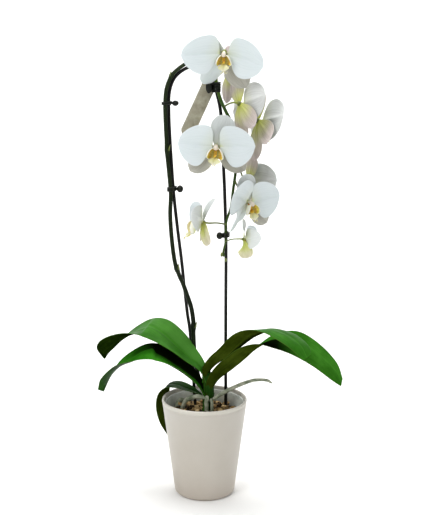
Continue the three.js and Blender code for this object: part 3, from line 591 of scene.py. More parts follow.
# lip tissue: waxy, yellow to orange-brown in its throat and pale at its rim, with specks of 2 mm
# and red stripes along it that fade out past its middle. The stops go from throat to rim
def lipTissue(name, stops, stripe, stripeMix):
    material, tree, shader, where = newMaterial(name, {
        "Roughness": 0.42, "Subsurface Weight": 0.15, "Subsurface Radius": (1.0, 0.7, 0.3),
        "Subsurface Scale": 1.2 * milli, "Coat Weight": 0.2, "Coat Roughness": 0.3})
    split = addNode(tree, "SeparateXYZ", {}, {"Vector": where["UV"]})
    speck = addNode(tree, "TexNoise", {"Scale": 500, "Detail": 3}, {"Vector": where["Object"]})
    shift = addNode(tree, "Math", {"operation": "MULTIPLY_ADD", 1: 0.3, 2: -0.15}, {0: speck})
    along = addNode(tree, "Math", {"operation": "ADD"}, {0: split.outputs["Y"], 1: shift})
    body = addNode(tree, "ValToRGB", {"stops": stops}, {"Fac": along})
    slow = addNode(tree, "Math", {"operation": "MULTIPLY", 1: 0.2}, {0: split.outputs["Y"]})
    strip = addNode(tree, "CombineXYZ", {}, {"X": split.outputs["X"], "Y": slow})
    line = addNode(tree, "TexNoise", {"Scale": 16}, {"Vector": strip})
    lineTone = addNode(tree, "ValToRGB", {"stops": [(0.4, stripe), (0.52, "#ffffff")]},
                       {"Fac": line})
    fade = addNode(tree, "MapRange", {"From Min": 0.5, "From Max": 0.75, "To Min": stripeMix,
                                      "To Max": 0}, {"Value": split.outputs["Y"]})
    mixed = addNode(tree, "Mix", {"data_type": "RGBA", "blend_type": "MULTIPLY"},
                    {"Factor": fade, "A": body, "B": lineTone})
    wire(shader, {"Base Color": mixed})
    return material


lobeInside = lipTissue("yellowLobeInside", [
    (0.0, "#a09a4c"), (0.25, "#c8a236"), (0.42, "#dcc63e"), (0.62, "#e6e252"), (0.82, "#ecebb4"),
    (1.0, "#efeee0")], "#b5702a", 0.3)
lobeOutside = lipTissue("paleLobeOutside", [
    (0.0, "#bcb44e"), (0.4, "#d6d690"), (0.75, "#e2e2d0"), (1.0, "#e8e6d8")], "#c9b08a", 0.2)
tongueTop = lipTissue("yellowTongueTop", [
    (0.0, "#b8801e"), (0.3, "#d0a426"), (0.55, "#d8d048"), (0.8, "#e0e0a4"), (1.0, "#e6e7d0")],
    "#b5702a", 0.4)
tongueUnder = lipTissue("paleTongueUnder", [
    (0.0, "#c8ba5c"), (0.5, "#dad9a4"), (1.0, "#e3e3d4")], "#c9b48a", 0.2)
columnTissue = lipTissue("creamColumn", [
    (0.0, "#c3c884"), (0.4, "#d6d2b8"), (0.8, "#dccdbe"), (1.0, "#e3dbcb")], "#c9a09a", 0.2)
callusTissue = lipTissue("orangeCallus", [
    (0.0, "#a8701a"), (0.6, "#cf9c22"), (1.0, "#d8b83c")], "#94460f", 0.5)
print("materials")


# the pots are raised by extruding a ring up, out and in along a list of (radius, height)
def raiseRings(name, rings, segments, material):
    clearSelection()
    radius, height = rings[0]
    bpy.ops.mesh.primitive_circle_add(vertices=segments, radius=radius * milli, fill_type="NGON",
                                      location=(0, 0, height * milli))
    obj = bpy.context.object
    obj.name = name
    bpy.ops.object.transform_apply(location=True)
    bpy.ops.object.mode_set(mode="EDIT")
    bpy.ops.mesh.select_all(action="SELECT")
    for nextRadius, nextHeight in rings[1:]:
        bpy.ops.mesh.extrude_region_move(
            TRANSFORM_OT_translate={"value": (0, 0, (nextHeight - height) * milli)})
        share = nextRadius / radius
        bpy.ops.transform.resize(value=(share, share, 1),
                                 center_override=(0, 0, nextHeight * milli))
        radius, height = nextRadius, nextHeight
    bpy.ops.mesh.select_all(action="SELECT")
    bpy.ops.mesh.normals_make_consistent(inside=False)
    bpy.ops.object.mode_set(mode="OBJECT")
    bpy.ops.object.shade_smooth()
    obj.data.materials.append(material)
    return obj


potSpec = {
    "height": 147, "base": 45, "rim": 63.9, "wall": 3, "floor": 4, "fillet": 6, "bead": 6,
    "middle": 3, "segments": 96, "wallHeights": (12, 40, 75, 110),
    "filletTurns": (15, 35, 55, 75, 90), "beadTurns": (-72, -45, -15, 15, 45, 75),
    "foot": [(-16, 1.2), (-13.5, 0.9), (-12.5, 0), (-7, 0)],  # its standing ring, in from the base
}


def coverPot():
    s = potSpec
    beadFoot = s["height"] - s["bead"]
    slope = (s["rim"] - 0.5 - s["base"]) / beadFoot

    def wallAt(z):
        return s["base"] + slope * z

    rings = [(s["middle"], s["foot"][0][1])] + [(s["base"] + out, z) for out, z in s["foot"]]
    for turn in s["filletTurns"]:
        a = math.radians(turn)
        rings.append((wallAt(s["fillet"]) - s["fillet"] * (1 - math.sin(a)),
                      s["fillet"] * (1 - math.cos(a))))
    rings += [(wallAt(z), z) for z in (*s["wallHeights"], beadFoot - 4)]
    rings.append((wallAt(beadFoot) - 0.1, beadFoot - 0.8))
    half, beadMiddle = s["wall"] / 2, s["rim"] - s["wall"] / 2
    for turn in s["beadTurns"]:
        a = math.radians(turn)
        rings.append((beadMiddle + half * math.cos(a),
                      s["height"] - s["bead"] / 2 * (1 - math.sin(a))))
    inner = wallAt(beadFoot) - s["wall"]
    bottom = s["base"] - s["wall"]
    rings += [(beadMiddle - 0.6, s["height"] - 0.05),
              (s["rim"] - s["wall"] + 0.2, s["height"] - 0.9), (inner + 0.2, s["height"] - 3),
              (inner, beadFoot), (wallAt(75) - s["wall"], 75), (wallAt(12) - s["wall"], 12),
              (bottom - 0.5, s["floor"] + 3), (bottom - 3.5, s["floor"]),
              (s["middle"], s["floor"])]
    settle(raiseRings("coverPot", rings, s["segments"], potPlastic), "pot_plastic", "cover_pot")


linerSpec = {
    "height": 137, "base": 39, "rim": 59.6, "wall": 1.4, "lift": 4.3, "middle": 3, "segments": 96,
    "wallHeights": (40, 80, 110, 124, 130), "ribs": 24, "ribDepth": 0.5, "ribsFrom": 20,
    "ribsTo": 133,
    "lipOutside": [(-1, -4.4), (-0.2, -3.9), (0, -3.3), (0, -0.5), (-0.5, 0)],  # from rim and top
    "lipInside": [(0.3, 0), (0, -0.5), (-0.8, -3.6), (-1, -4.4)],
}


def growPot():
    s = linerSpec
    top = s["lift"] + s["height"]
    low = s["lift"] + s["wall"]
    inside = s["base"] - s["wall"]

    def wallAt(z):
        return s["base"] + (s["rim"] - 1 - s["base"]) * (z - s["lift"] - 3) / (s["height"] - 7)

    rings = [(s["middle"], s["lift"]), (s["base"] - 2, s["lift"]),
             (s["base"] - 0.3, s["lift"] + 1), (s["base"], s["lift"] + 3)]
    rings += [(wallAt(z), z) for z in s["wallHeights"]]
    rings += [(s["rim"] + out, top + z) for out, z in s["lipOutside"]]
    rings += [(s["rim"] - s["wall"] + out, top + z) for out, z in s["lipInside"]]
    rings += [(wallAt(z) - s["wall"], z) for z in reversed(s["wallHeights"])]
    rings += [(inside, low + 3), (inside - 2, low), (s["middle"], low)]
    pot = raiseRings("growPot", rings, s["segments"], linerPlastic)
    for vertex in pot.data.vertices:  # shallow upright flutes stiffen the thin wall
        if s["ribsFrom"] < vertex.co.z / milli < s["ribsTo"]:
            turn = math.atan2(vertex.co.y, vertex.co.x)
            depth = s["ribDepth"] * (0.5 + 0.5 * math.cos(s["ribs"] * turn))
            share = 1 - depth * milli / vertex.co.xy.length
            vertex.co.x *= share
            vertex.co.y *= share
    settle(pot, "liner_plastic", "grow_pot")


coverPot()
growPot()
print("pots")

barkSpec = {
    "top": 126, "bumpHeight": 3, "radius": 52, "chips": 210, "seed": 11, "spread": 0.93,
    "bed": [(3, 6.0), (34, 6.0), (37, 9), (44, 60), (53.2, 119), (52, 121.5)], "bedSides": 72,
    "bedRings": 12, "bedTop": 122, "bedSink": 2.6, "sink": (-2.4, 1.4), "tips": (0.4, 0.35),
    "shares": (0.55, 1.05), "tones": (0.05, 0.5),
}
chipSpec = {"seeds": (3, 8, 15, 21, 34), "long": (9, 15), "wide": (6, 9), "thick": (2.6, 4.6),
            "cuts": 4, "cutAt": (5.6, 3.4, 1.4), "cutShares": (0.75, 1.0), "weld": 0.2,
            "roughness": 0.45}


def barkHeight(x, y):  # the same lumps as on the CAD bark
    wave = math.sin(0.31 * x + 1.7) * math.cos(0.27 * y) + 0.6 * math.sin(0.19 * x - 0.41 * y)
    return barkSpec["top"] + barkSpec["bumpHeight"] * wave / 1.6


# a chip is a block with its corners sliced off and its faces roughened
def chipShape(seed):
    s = chipSpec
    dice = random.Random(seed)
    clearSelection()
    bpy.ops.mesh.primitive_cube_add(size=1)
    chip = bpy.context.object
    chip.scale = Vector([dice.uniform(*s[k]) for k in ("long", "wide", "thick")]) * milli
    bpy.ops.object.transform_apply(scale=True)
    bpy.ops.object.mode_set(mode="EDIT")
    for i in range(s["cuts"]):
        turn = math.radians(90 * i + dice.uniform(20, 70))
        way = Vector((math.cos(turn), math.sin(turn), dice.uniform(-0.7, 0.7))).normalized()
        spot = Vector([part * reach for part, reach in zip(way, s["cutAt"])])
        spot = spot * milli * dice.uniform(*s["cutShares"])
        bpy.ops.mesh.select_all(action="SELECT")
        bpy.ops.mesh.bisect(plane_co=spot, plane_no=way, use_fill=True, clear_outer=True)
    bpy.ops.mesh.select_all(action="SELECT")
    bpy.ops.mesh.quads_convert_to_tris()
    bpy.ops.mesh.subdivide(number_cuts=1)
    bpy.ops.mesh.remove_doubles(threshold=s["weld"] * milli)
    bpy.ops.transform.vertex_random(offset=s["roughness"] * milli, seed=seed)
    bpy.ops.mesh.normals_make_consistent(inside=False)
    bpy.ops.object.mode_set(mode="OBJECT")
    return chip


def barkMedium():
    s = barkSpec
    rings = s["bed"] + [(s["radius"] * (1 - i / s["bedRings"]), s["bedTop"] + 0.01 * i)
                        for i in range(1, s["bedRings"])]
    bed = raiseRings("barkBed", rings, s["bedSides"], barkChip)
    for vertex in bed.data.vertices:  # its top follows the lumps, a little below the chips
        x, y, z = vertex.co / milli
        if z > s["bedTop"] - s["bedSink"]:
            vertex.co.z = (barkHeight(x, y) - s["bedSink"]) * milli
    shapes = [chipShape(seed) for seed in chipSpec["seeds"]]
    dice = random.Random(s["seed"])
    chips = []
    for i in range(s["chips"]):
        reach = s["radius"] * math.sqrt(dice.random()) * s["spread"]
        turn = dice.uniform(0, 2 * math.pi)
        x, y = reach * math.cos(turn), reach * math.sin(turn)
        tips = [Matrix.Rotation(dice.gauss(0, s["tips"][k]), 4, "XY"[k]) for k in (0, 1)]
        height = barkHeight(x, y) + dice.uniform(*s["sink"])
        place = Matrix.Translation(Vector((x, y, height)) * milli)
        size = Matrix.Scale(dice.uniform(*s["shares"]), 4)
        matrix = place @ Matrix.Rotation(turn * 7, 4, "Z") @ tips[0] @ tips[1] @ size
        chip = copyPiece(dice.choice(shapes), "chip", matrix)
        shade = dice.uniform(*s["tones"])
        toneLayer = chip.data.attributes.new("chipTone", "FLOAT", "POINT")
        toneLayer.data.foreach_set("value", [shade] * len(chip.data.vertices))
        chip.data.materials.append(barkChip)
        chips.append(chip)
    for shape in shapes:
        bpy.data.objects.remove(shape)
    for piece in (bed, joinPieces("barkChips", chips)):
        settle(piece, "bark", "bark_medium")


barkMedium()
print("bark")

hoopSpec = {"radius": 2.5, "sides": 20, "steps": 260, "path": [
    (-10, 22, 24), (-13, 26, 90), (-16, 31, 150), (-22, 34, 238), (-26, 31, 270), (-30, 27, 309),
    (-34, 24, 352), (-40, 20, 405), (-45, 19, 456), (-49, 18, 520), (-51, 18, 570), (-50, 17, 600),
    (-43, 16, 620), (-30, 16, 632), (-14, 16, 638), (1, 16, 636), (12, 17, 622), (18, 17, 600),
    (24, 17, 570), (27, 17, 515), (30, 18, 450), (32, 20, 380), (32, 23, 293), (32, 25, 200),
    (32, 25, 120), (27, 22, 60), (24, 20, 24)]}
hoop = stemPiece("hoopStake", hoopSpec["path"], lambda t, turn: hoopSpec["radius"],
                 hoopSpec["sides"], hoopSpec["steps"], hoopSleeve)
settle(hoop, "hoop", "hoop_stake")

spikeSpec = {
    "radii": [3.6, 3.2, 2.8, 2.4, 1.4], "sides": 18, "steps": 420, "fluting": 0.03,
    "nodes": [0.1, 0.235, 0.37, 0.505, 0.6], "nodeSwell": 0.28, "nodeLength": 0.006,
    "path": [
        (1, 7, 156), (-9, 21, 172), (-15, 28, 205), (-17, 28, 237), (-17, 25, 259), (-20, 21, 282),
        (-26, 18, 302), (-32, 15, 320), (-38, 14, 334), (-44, 13, 354), (-48, 13, 387),
        (-50, 14, 423), (-49, 14, 457), (-53, 14, 505), (-55, 13, 541), (-56, 13, 566),
        (-56, 12, 585), (-54, 12, 605), (-48, 12, 621), (-40, 12, 631), (-24, 12, 642),
        (-6, 12, 647), (8, 12, 643), (15, 11, 632), (18, 10, 611), (23, 10, 592), (31, 10, 574),
        (40, 11, 555), (46, 13, 525), (46, 13, 492), (42, 11, 460), (39, 11, 435), (33, 12, 416),
        (31, 13, 401), (31, 13, 382), (28, 13, 369), (29, 13, 361)]}
stalkSpec = {"radius": 1.35, "foot": 0.9, "footLength": 0.06, "flare": 0.75, "ribs": 6,
             "ribDepth": 0.06, "arch": 1.2, "sides": 18, "steps": 40}
bractSpec = {"length": 9.5, "wrap": 1.25, "taper": 0.85, "stand": 1.2, "thickness": 0.5,
             "edgeShare": 0.5, "along": 10, "across": 8}

# each flower's place and facing, the turns of its sepals and petals from its top, and how far
# each leans forward. Angles are in degrees
flowerSpecs = [
    {"at": (28, -25, 656), "yaw": -4, "pitch": -15, "roll": 0, "size": 1.12, "spread": 0.84,
     "lipSize": 0.84, "stalk": (4, 12, 646), "sepals": (-70, -148, 150),
     "sepalLeans": (-62, -14, -4), "twists": (65, 38, 0), "petals": (-93, 104),
     "petalLeans": (4, 18)},
    {"at": (17.5, -18, 526.5), "yaw": -4, "pitch": -6, "roll": 6, "size": 1.03,
     "stalk": (36, 10, 564), "sepals": (14, -141, 127), "sepalLeans": (-4, -8, -8),
     "petals": (-92, 84), "petalLeans": (0, 0)},
    {"at": (50.5, 0, 585), "yaw": 125, "pitch": -12, "roll": 30, "size": 0.96,
     "stalk": (28, 10, 580), "sepals": (0, -155, 155), "sepalLeans": (0, 4, 22),
     "petals": (-104, 80), "petalLeans": (4, 30)},
    {"at": (77.5, 18, 560), "yaw": 120, "pitch": -20, "roll": 21, "size": 1.1,
     "stalk": (43, 12, 544), "sepals": (8, -138, 168), "sepalLeans": (0, -2, 12),
     "petals": (-100, 86), "petalLeans": (0, 30)},
    {"at": (36.5, 46, 630), "yaw": 128, "pitch": -10, "roll": 20, "size": 0.88,
     "stalk": (15, 11, 634), "sepals": (0, -152, 152), "sepalLeans": (2, 4, 12),
     "petals": (-98, 82), "petalLeans": (6, 36)},
    {"at": (63, -6, 445), "yaw": 34, "pitch": -8, "roll": -6, "size": 0.97,
     "stalk": (44, 12, 474), "sepals": (-8, -136, 138), "sepalLeans": (2, 10, 2),
     "twists": (0, 40, 0), "petals": (-58, 88), "petalLeans": (24, 8)},
    {"at": (66, 38, 471), "yaw": 125, "pitch": -5, "roll": -6, "size": 0.87,
     "stalk": (46, 13, 500), "sepals": (0, -142, 142), "sepalLeans": (2, 2, 16),
     "petals": (-78, 88), "petalLeans": (22, 34)},
    {"at": (-2, 4, 414), "yaw": -78, "pitch": 12, "roll": 0, "size": 0.88, "spread": 0.8,
     "lipSize": 1.3, "stalk": (33, 12, 409), "sepals": (0, -130, 132),
     "sepalLeans": (-14, -13, -13), "petals": (-72, 72), "petalLeans": (16, 34), "young": True},
    {"at": (57.5, 2, 389), "yaw": 95, "pitch": -4, "roll": 0, "size": 0.69, "spread": 0.76,
     "stalk": (31, 13, 384), "sepals": (0, -146, 150), "sepalLeans": (-4, 10, 22),
     "twists": (20, 60, 0), "petals": (-75, 75), "petalLeans": (34, 36), "young": True},
]


# a flower's own frame: X its right from the front, Y up, Z the way it faces, in millimetres
def flowerMatrix(spec):
    turn, tip, lean = (math.radians(spec[k]) for k in ("yaw", "pitch", "roll"))
    face = Vector((math.sin(turn) * math.cos(tip), -math.cos(turn) * math.cos(tip), math.sin(tip)))
    level = Vector((0, 0, 1)).cross(face).normalized()
    upright = face.cross(level)
    up = upright * math.cos(lean) + level * math.sin(lean)
    right = up.cross(face)
    matrix = Matrix((right, up, face)).transposed().to_4x4()
    matrix.translation = Vector(spec["at"])
    return matrix


def growStalk(flower):
    s = stalkSpec
    size = flower["size"]
    foot = Vector(flower["stalk"])
    neck, end = (flowerMatrix(flower) @ Vector((0, 0, z * size)) for z in (-10, -3))
    middle = (foot + neck) / 2 + Vector((0, 0, s["arch"]))

    def radiusAt(t, turn):
        radius = s["radius"] + s["foot"] * bump(t, 0, s["footLength"]) + s["flare"] * t ** 3
        return size * radius * (1 + s["ribDepth"] * t * math.cos(s["ribs"] * turn + 3 * t))

    return stemPiece("stalk", [foot, middle, neck, end], radiusAt, s["sides"], s["steps"],
                     stalkTissue)


def growBract(node):  # a dry pointed scale that wraps the stem at a node
    s = bractSpec
    spot = splinePoint(spikeSpec["path"], node)
    ahead = (splinePoint(spikeSpec["path"], node + 0.004) - spot).normalized()
    out = ahead.cross(Vector((0, 1, 0))).normalized() * (-1 if node < 0.5 else 1)
    side = ahead.cross(out)
    reach = listAt(spikeSpec["radii"], node) * (1 + spikeSpec["nodeSwell"]) * 1.06

    def surface(u, v):
        turn = v * s["wrap"] * (1 - s["taper"] * u ** 1.6)
        lift = reach + s["stand"] * u ** 2
        return (spot + ahead * (u * s["length"] - 1)
                + (out * math.cos(turn) + side * math.sin(turn)) * lift)

    bract = gridPiece("bract", surface, s["along"], s["across"])
    return thickenSheet(bract, s["along"], s["across"], s["thickness"], s["edgeShare"],
                        [stalkTissue])


def growSpike():
    s = spikeSpec

    def radiusAt(t, turn):
        radius = listAt(s["radii"], t)
        for node in s["nodes"]:
            radius *= 1 + s["nodeSwell"] * bump(t, node, s["nodeLength"])
        return radius * (1 + s["fluting"] * math.sin(3 * turn + 40 * t))

    pieces = [stemPiece("spikeStem", s["path"], radiusAt, s["sides"], s["steps"], stemTissue)]
    pieces += [growStalk(flower) for flower in flowerSpecs]
    pieces += [growBract(node) for node in s["nodes"]]
    settle(joinPieces("flowerSpike", pieces), "stem", "flower_spike")


growSpike()
print("hoop and spike")

# each leaf is stretched between the paths of its two edges. Its arch, a share of its half width,
# goes from a trough at its foot to a ridge
leafSpecs = {
    "leaf_upper_left": {
        "front": [(3, -6, 170), (-7, -8, 191), (-27, -16, 208), (-49, -20, 226), (-72, -18, 239),
                  (-97, -8, 246), (-121, 8, 245), (-145, 26, 236), (-162, 42, 223),
                  (-167, 52, 208), (-157, 60, 190)],
        "back": [(7, 6, 178), (0, 10, 201), (-15, 24, 220), (-33, 38, 240), (-56, 50, 255),
                 (-80, 60, 255), (-101, 67, 243), (-120, 72, 227), (-139, 72, 207),
                 (-150, 68, 197), (-156, 62, 189)],
        "arch": [-0.3, -0.3, -0.3, -0.25, -0.1, 0.1, 0.25, 0.3, 0.3, 0.2, 0],
        "faces": [paintedSheenLeafTop, leafUnderDeepPaintedShade]},
    "leaf_lower_left": {
        "front": [(4, -7, 142), (-4, -10, 161), (-21, -24, 186), (-41, -33, 204), (-63, -38, 215),
                  (-86, -38, 218), (-108, -34, 214), (-132, -26, 205), (-154, -14, 182),
                  (-160, -5, 161)],
        "back": [(4, 7, 154), (-5, 8, 177), (-22, 12, 196), (-43, 14, 214), (-66, 16, 226),
                 (-88, 17, 226), (-112, 17, 213), (-131, 14, 196), (-144, 8, 173),
                 (-152, 2, 156)],
        "arch": [-0.3, -0.3, -0.35, -0.35, -0.2, 0, 0.2, 0.25, 0.2, 0],
        # its underside wears the dark sheath tissue as painted shade
        "faces": [paintedFoldShadeLeafTop, sheathAndPaintedShade]},
    "leaf_upper_right": {
        "front": [(-2, -5, 172), (-3, -6, 194), (6, -18, 214), (21, -34, 234), (41, -52, 260),
                  (62, -68, 271), (84, -82, 270), (105, -94, 261), (122, -102, 251),
                  (138, -104, 236)],
        "back": [(5, 3, 160), (4, 2, 179), (14, 2, 196), (32, -2, 212), (53, -8, 228),
                 (76, -18, 248), (104, -34, 262), (129, -54, 261), (147, -74, 250),
                 (150, -90, 240)],
        "arch": [-0.3, -0.3, -0.35, -0.35, -0.2, 0, 0.12, 0.15, 0.12, 0],
        "faces": [leafUnderPaintedShade, leafTop]},
    "leaf_right": {
        "front": [(2, -6, 152), (3, -6, 174), (14, -14, 197), (32, -22, 218), (52, -32, 235),
                  (75, -42, 243), (98, -50, 239), (125, -54, 230), (156, -52, 212),
                  (186, -44, 188), (201, -34, 176)],
        "back": [(8, 4, 140), (11, 4, 156), (20, 12, 172), (39, 17, 187), (58, 20, 202),
                 (81, 22, 223), (108, 20, 242), (140, 13, 247), (170, 4, 231), (196, -8, 205),
                 (204, -24, 184)],
        "arch": [-0.3, -0.3, -0.35, -0.35, -0.25, -0.1, 0.05, 0.12, 0.12, 0.1, 0],
        "faces": [leafUnderPaintedShade, paintedShadowLeafTop]},
    "leaf_back_left": {
        "front": [(-1, 2, 146), (-11, 4, 152), (-30, 10, 155), (-46, 16, 157), (-61, 21, 155),
                  (-72, 25, 142), (-75, 29, 120), (-70, 34, 95), (-58, 41, 71)],
        "back": [(-3, 11, 149), (-15, 20, 157), (-29, 34, 160), (-43, 44, 159), (-53, 50, 153),
                 (-55, 53, 139), (-51, 52, 118), (-49, 50, 96), (-52, 46, 73)],
        "arch": [-0.3, -0.3, -0.2, 0, 0.12, 0.2, 0.2, 0.12, 0],
        # the back left leaf's top, in shadow, wears the dark sheath tissue as painted shade
        "faces": [sheathAndPaintedShade, leafUnderPaintedShade]},
}
leafShape = {"thickness": 2.4, "edgeShare": 0.35, "along": 64, "across": 20, "crease": 1.3,
             "creaseWidth": 2.4, "wave": 0.5}


def growLeaf(name, spec):
    s = leafShape
    step = 0.01  # the share of its length over which its direction is taken

    def surface(u, v):
        a, b = splinePoint(spec["front"], u), splinePoint(spec["back"], u)
        half = (b - a).length / 2
        side = (b - a).normalized()
        ahead = Vector()
        for edge in (spec["front"], spec["back"]):
            ahead += (splinePoint(edge, u + step) - splinePoint(edge, u - step)).normalized()
        up = ahead.cross(side).normalized()
        if up.z < 0 and u < 0.5:
            up.negate()
        rise = math.sin(math.pi * min(1, 0.12 + u)) ** 0.5
        crease = s["crease"] * bump(v * half, 0, s["creaseWidth"]) * rise
        wave = s["wave"] * abs(v) ** 3 * math.sin(9 * u + 2.4 * v + len(name))
        lift = listAt(spec["arch"], u) * half * (1 - v * v) - crease + wave
        return (a + b) / 2 + side * v * half + up * lift

    leaf = gridPiece(name + "_leaf", surface, s["along"], s["across"])
    thickenSheet(leaf, s["along"], s["across"], s["thickness"], s["edgeShare"], spec["faces"])
    settle(leaf, "leaf", name)


for leafName, leafSpec in leafSpecs.items():
    growLeaf(leafName, leafSpec)

crownSpec = {"radii": [7, 8.5, 9, 8.5, 5], "sheaths": 5, "stepDepth": 0.1, "flatness": 0.05,
             "sides": 40, "steps": 80,
             "path": [(3, 3, 118), (5, 3, 138), (6, 2, 156), (5, 2, 176), (1, 2, 196)]}


def crownRadius(t, turn):  # overlapping leaf sheaths, one step out at a time
    s = crownSpec
    step = (t * s["sheaths"] + 0.5 * math.sin(turn)) % 1
    share = 1 - s["stepDepth"] * (1 - step) + s["flatness"] * math.cos(2 * turn)
    return listAt(s["radii"], t) * share


crown = stemPiece("plantCrown", crownSpec["path"], crownRadius, crownSpec["sides"],
                  crownSpec["steps"], sheathAndPaintedShade)
settle(crown, "stem", "plant_crown")

rootSpecs = {
    "root_aerial_right": {"radii": [3.2, 3, 1.9], "path": [
        (13, -6, 147), (22, 4, 149.5), (33, 10, 154), (44, 12, 159), (59, 14, 165),
        (76, 13, 170.5), (93, 11, 171), (102, 9, 167)]},
    "root_left_arch": {"radii": [3.2, 3.4, 3], "path": [
        (1, -6, 149), (-11, -6, 151), (-22, -3, 147), (-30, 4, 139), (-35, 12, 120)]},
    "root_left_back": {"radii": [3.4, 3.8, 3.2], "path": [
        (-28, 34, 120), (-32, 32, 130), (-37, 30, 133), (-41, 27, 129), (-42, 24, 120)]},
    "root_front": {"radii": [3, 3, 2.8], "path": [
        (4, -6, 152), (3, -10, 144), (3, -10, 134), (3, -8, 120)]},
    "root_front_right": {"radii": [2.4, 2.4, 2], "path": [
        (9, -3, 147), (11, -7, 140), (11, -7, 130), (11, -6, 120)]},
}
rootShape = {"lumps": 6, "lumpHeight": 0.22, "sides": 20, "steps": 70}


def growRoot(name, spec):
    s = rootShape

    def radiusAt(t, turn):
        spot = Vector((s["lumps"] * t, math.cos(turn), math.sin(turn) + len(name)))
        end = min(1.0, 0.35 + 8 * min(t, 1 - t)) ** 0.5  # blunt, rounded ends
        return listAt(spec["radii"], t) * (1 + s["lumpHeight"] * noise.noise(spot)) * end

    root = stemPiece(name + "_skin", spec["path"], radiusAt, s["sides"], s["steps"], rootSkin)
    settle(root, "root", name)


for rootName, rootSpec in rootSpecs.items():
    growRoot(rootName, rootSpec)
print("leaves, crown and roots")

clipSpecs = {
    "clip_top": {"height": 608, "rings": 6, "knobTurn": 195},
    "clip_upper_left": {"height": 585, "rings": 2, "knobTurn": 0},
    "clip_lower_left": {"height": 461, "rings": 3, "knobTurn": 0},
    "clip_lower_right": {"height": 393, "rings": 3, "knobTurn": 215},
}
clipShape = {"wire": 1.2, "pitch": 2.5, "endRoom": 3.4, "sideRoom": 3.9, "steps": 14,
             "knobRadius": 4.6, "knobReach": 5.6, "knobTop": 1.6, "ridges": 9, "ridgeDepth": 0.07,
             "neck": 1.5, "neckFlare": 0.5}


def passes(path, height, fromEnd):  # where a path first reaches a height
    spots = [splinePoint(path, i / 400) for i in range(401)]
    if fromEnd:
        spots.reverse()
    for a, b in zip(spots, spots[1:]):
        if (a.z - height) * (b.z - height) <= 0:
            return a.lerp(b, (height - a.z) / ((b.z - a.z) or 1))


def makeClip(name, spec):
    s = clipShape
    onRight = spec["knobTurn"] > 90  # where the paths of the spike and the hoop end
    a = passes(spikeSpec["path"], spec["height"], onRight)
    b = passes(hoopSpec["path"], spec["height"], onRight)
    middle = (a + b) / 2
    lengthwise = Vector((b.x - a.x, b.y - a.y, 0))
    reach = lengthwise.length / 2 + s["endRoom"] + s["wire"]
    sideReach = s["sideRoom"] + s["wire"]
    lengthwise.normalize()
    sideways = Vector((-lengthwise.y, lengthwise.x, 0))
    turns, steps = spec["rings"], s["steps"] * spec["rings"]

    def oval(along, aside):
        return middle + lengthwise * reach * along + sideways * sideReach * aside

    def coil(i):  # one wire wound round both stems
        turn = 2 * math.pi * turns * i / steps
        lift = (i / steps - 0.5) * s["pitch"] * (turns - 0.4)
        return oval(math.cos(turn), math.sin(turn)) + Vector((0, 0, lift))

    wound = stemPiece("coil", [coil(i) for i in range(steps + 1)], lambda t, turn: s["wire"], 10,
                      steps * 4, clipNylon)
    knobTurn = math.radians(spec["knobTurn"])
    way = Vector((math.cos(knobTurn), math.sin(knobTurn), 0))
    edge = oval(lengthwise.dot(way), sideways.dot(way))
    knobMiddle = edge + way * s["knobReach"]

    def knobWidth(tilt, turn):  # a round grip with ridges, which pinches open
        ridge = s["ridgeDepth"] * math.cos(s["ridges"] * turn) * math.cos(tilt)
        return s["knobRadius"] * (1 + ridge) * math.cos(tilt)

    knob = eggPiece("knob", knobMiddle, knobWidth, s["pitch"] * turns / 2 + s["knobTop"], 20, 54,
                    clipNylon)
    neck = stemPiece("neck", [edge - way * 0.6, edge + way * 1.6, knobMiddle],
                     lambda t, turn: s["neck"] + s["neckFlare"] * t * t, 14, 12, clipNylon)
    settle(joinPieces(name + "_wire", [wound, knob, neck]), "clip", name)


for clipName, clipSpec in clipSpecs.items():
    makeClip(clipName, clipSpec)

tagSpec = {"width": 20.5, "length": 92, "thickness": 0.8, "top": (10.5, 25, 618), "tilt": 25,
           "point": 9, "corner": 1.6, "edge": 0.2, "rows": 18, "columns": 6, "bow": 1.1,
           "bowLength": 30, "curl": 0.006}


def cutTag(spot, way, clear=False):  # a straight cut across the tag while it lies flat
    bpy.ops.mesh.select_all(action="SELECT")
    bpy.ops.mesh.bisect(plane_co=Vector((*spot, 0)) * milli, plane_no=(*way, 0), clear_outer=clear)


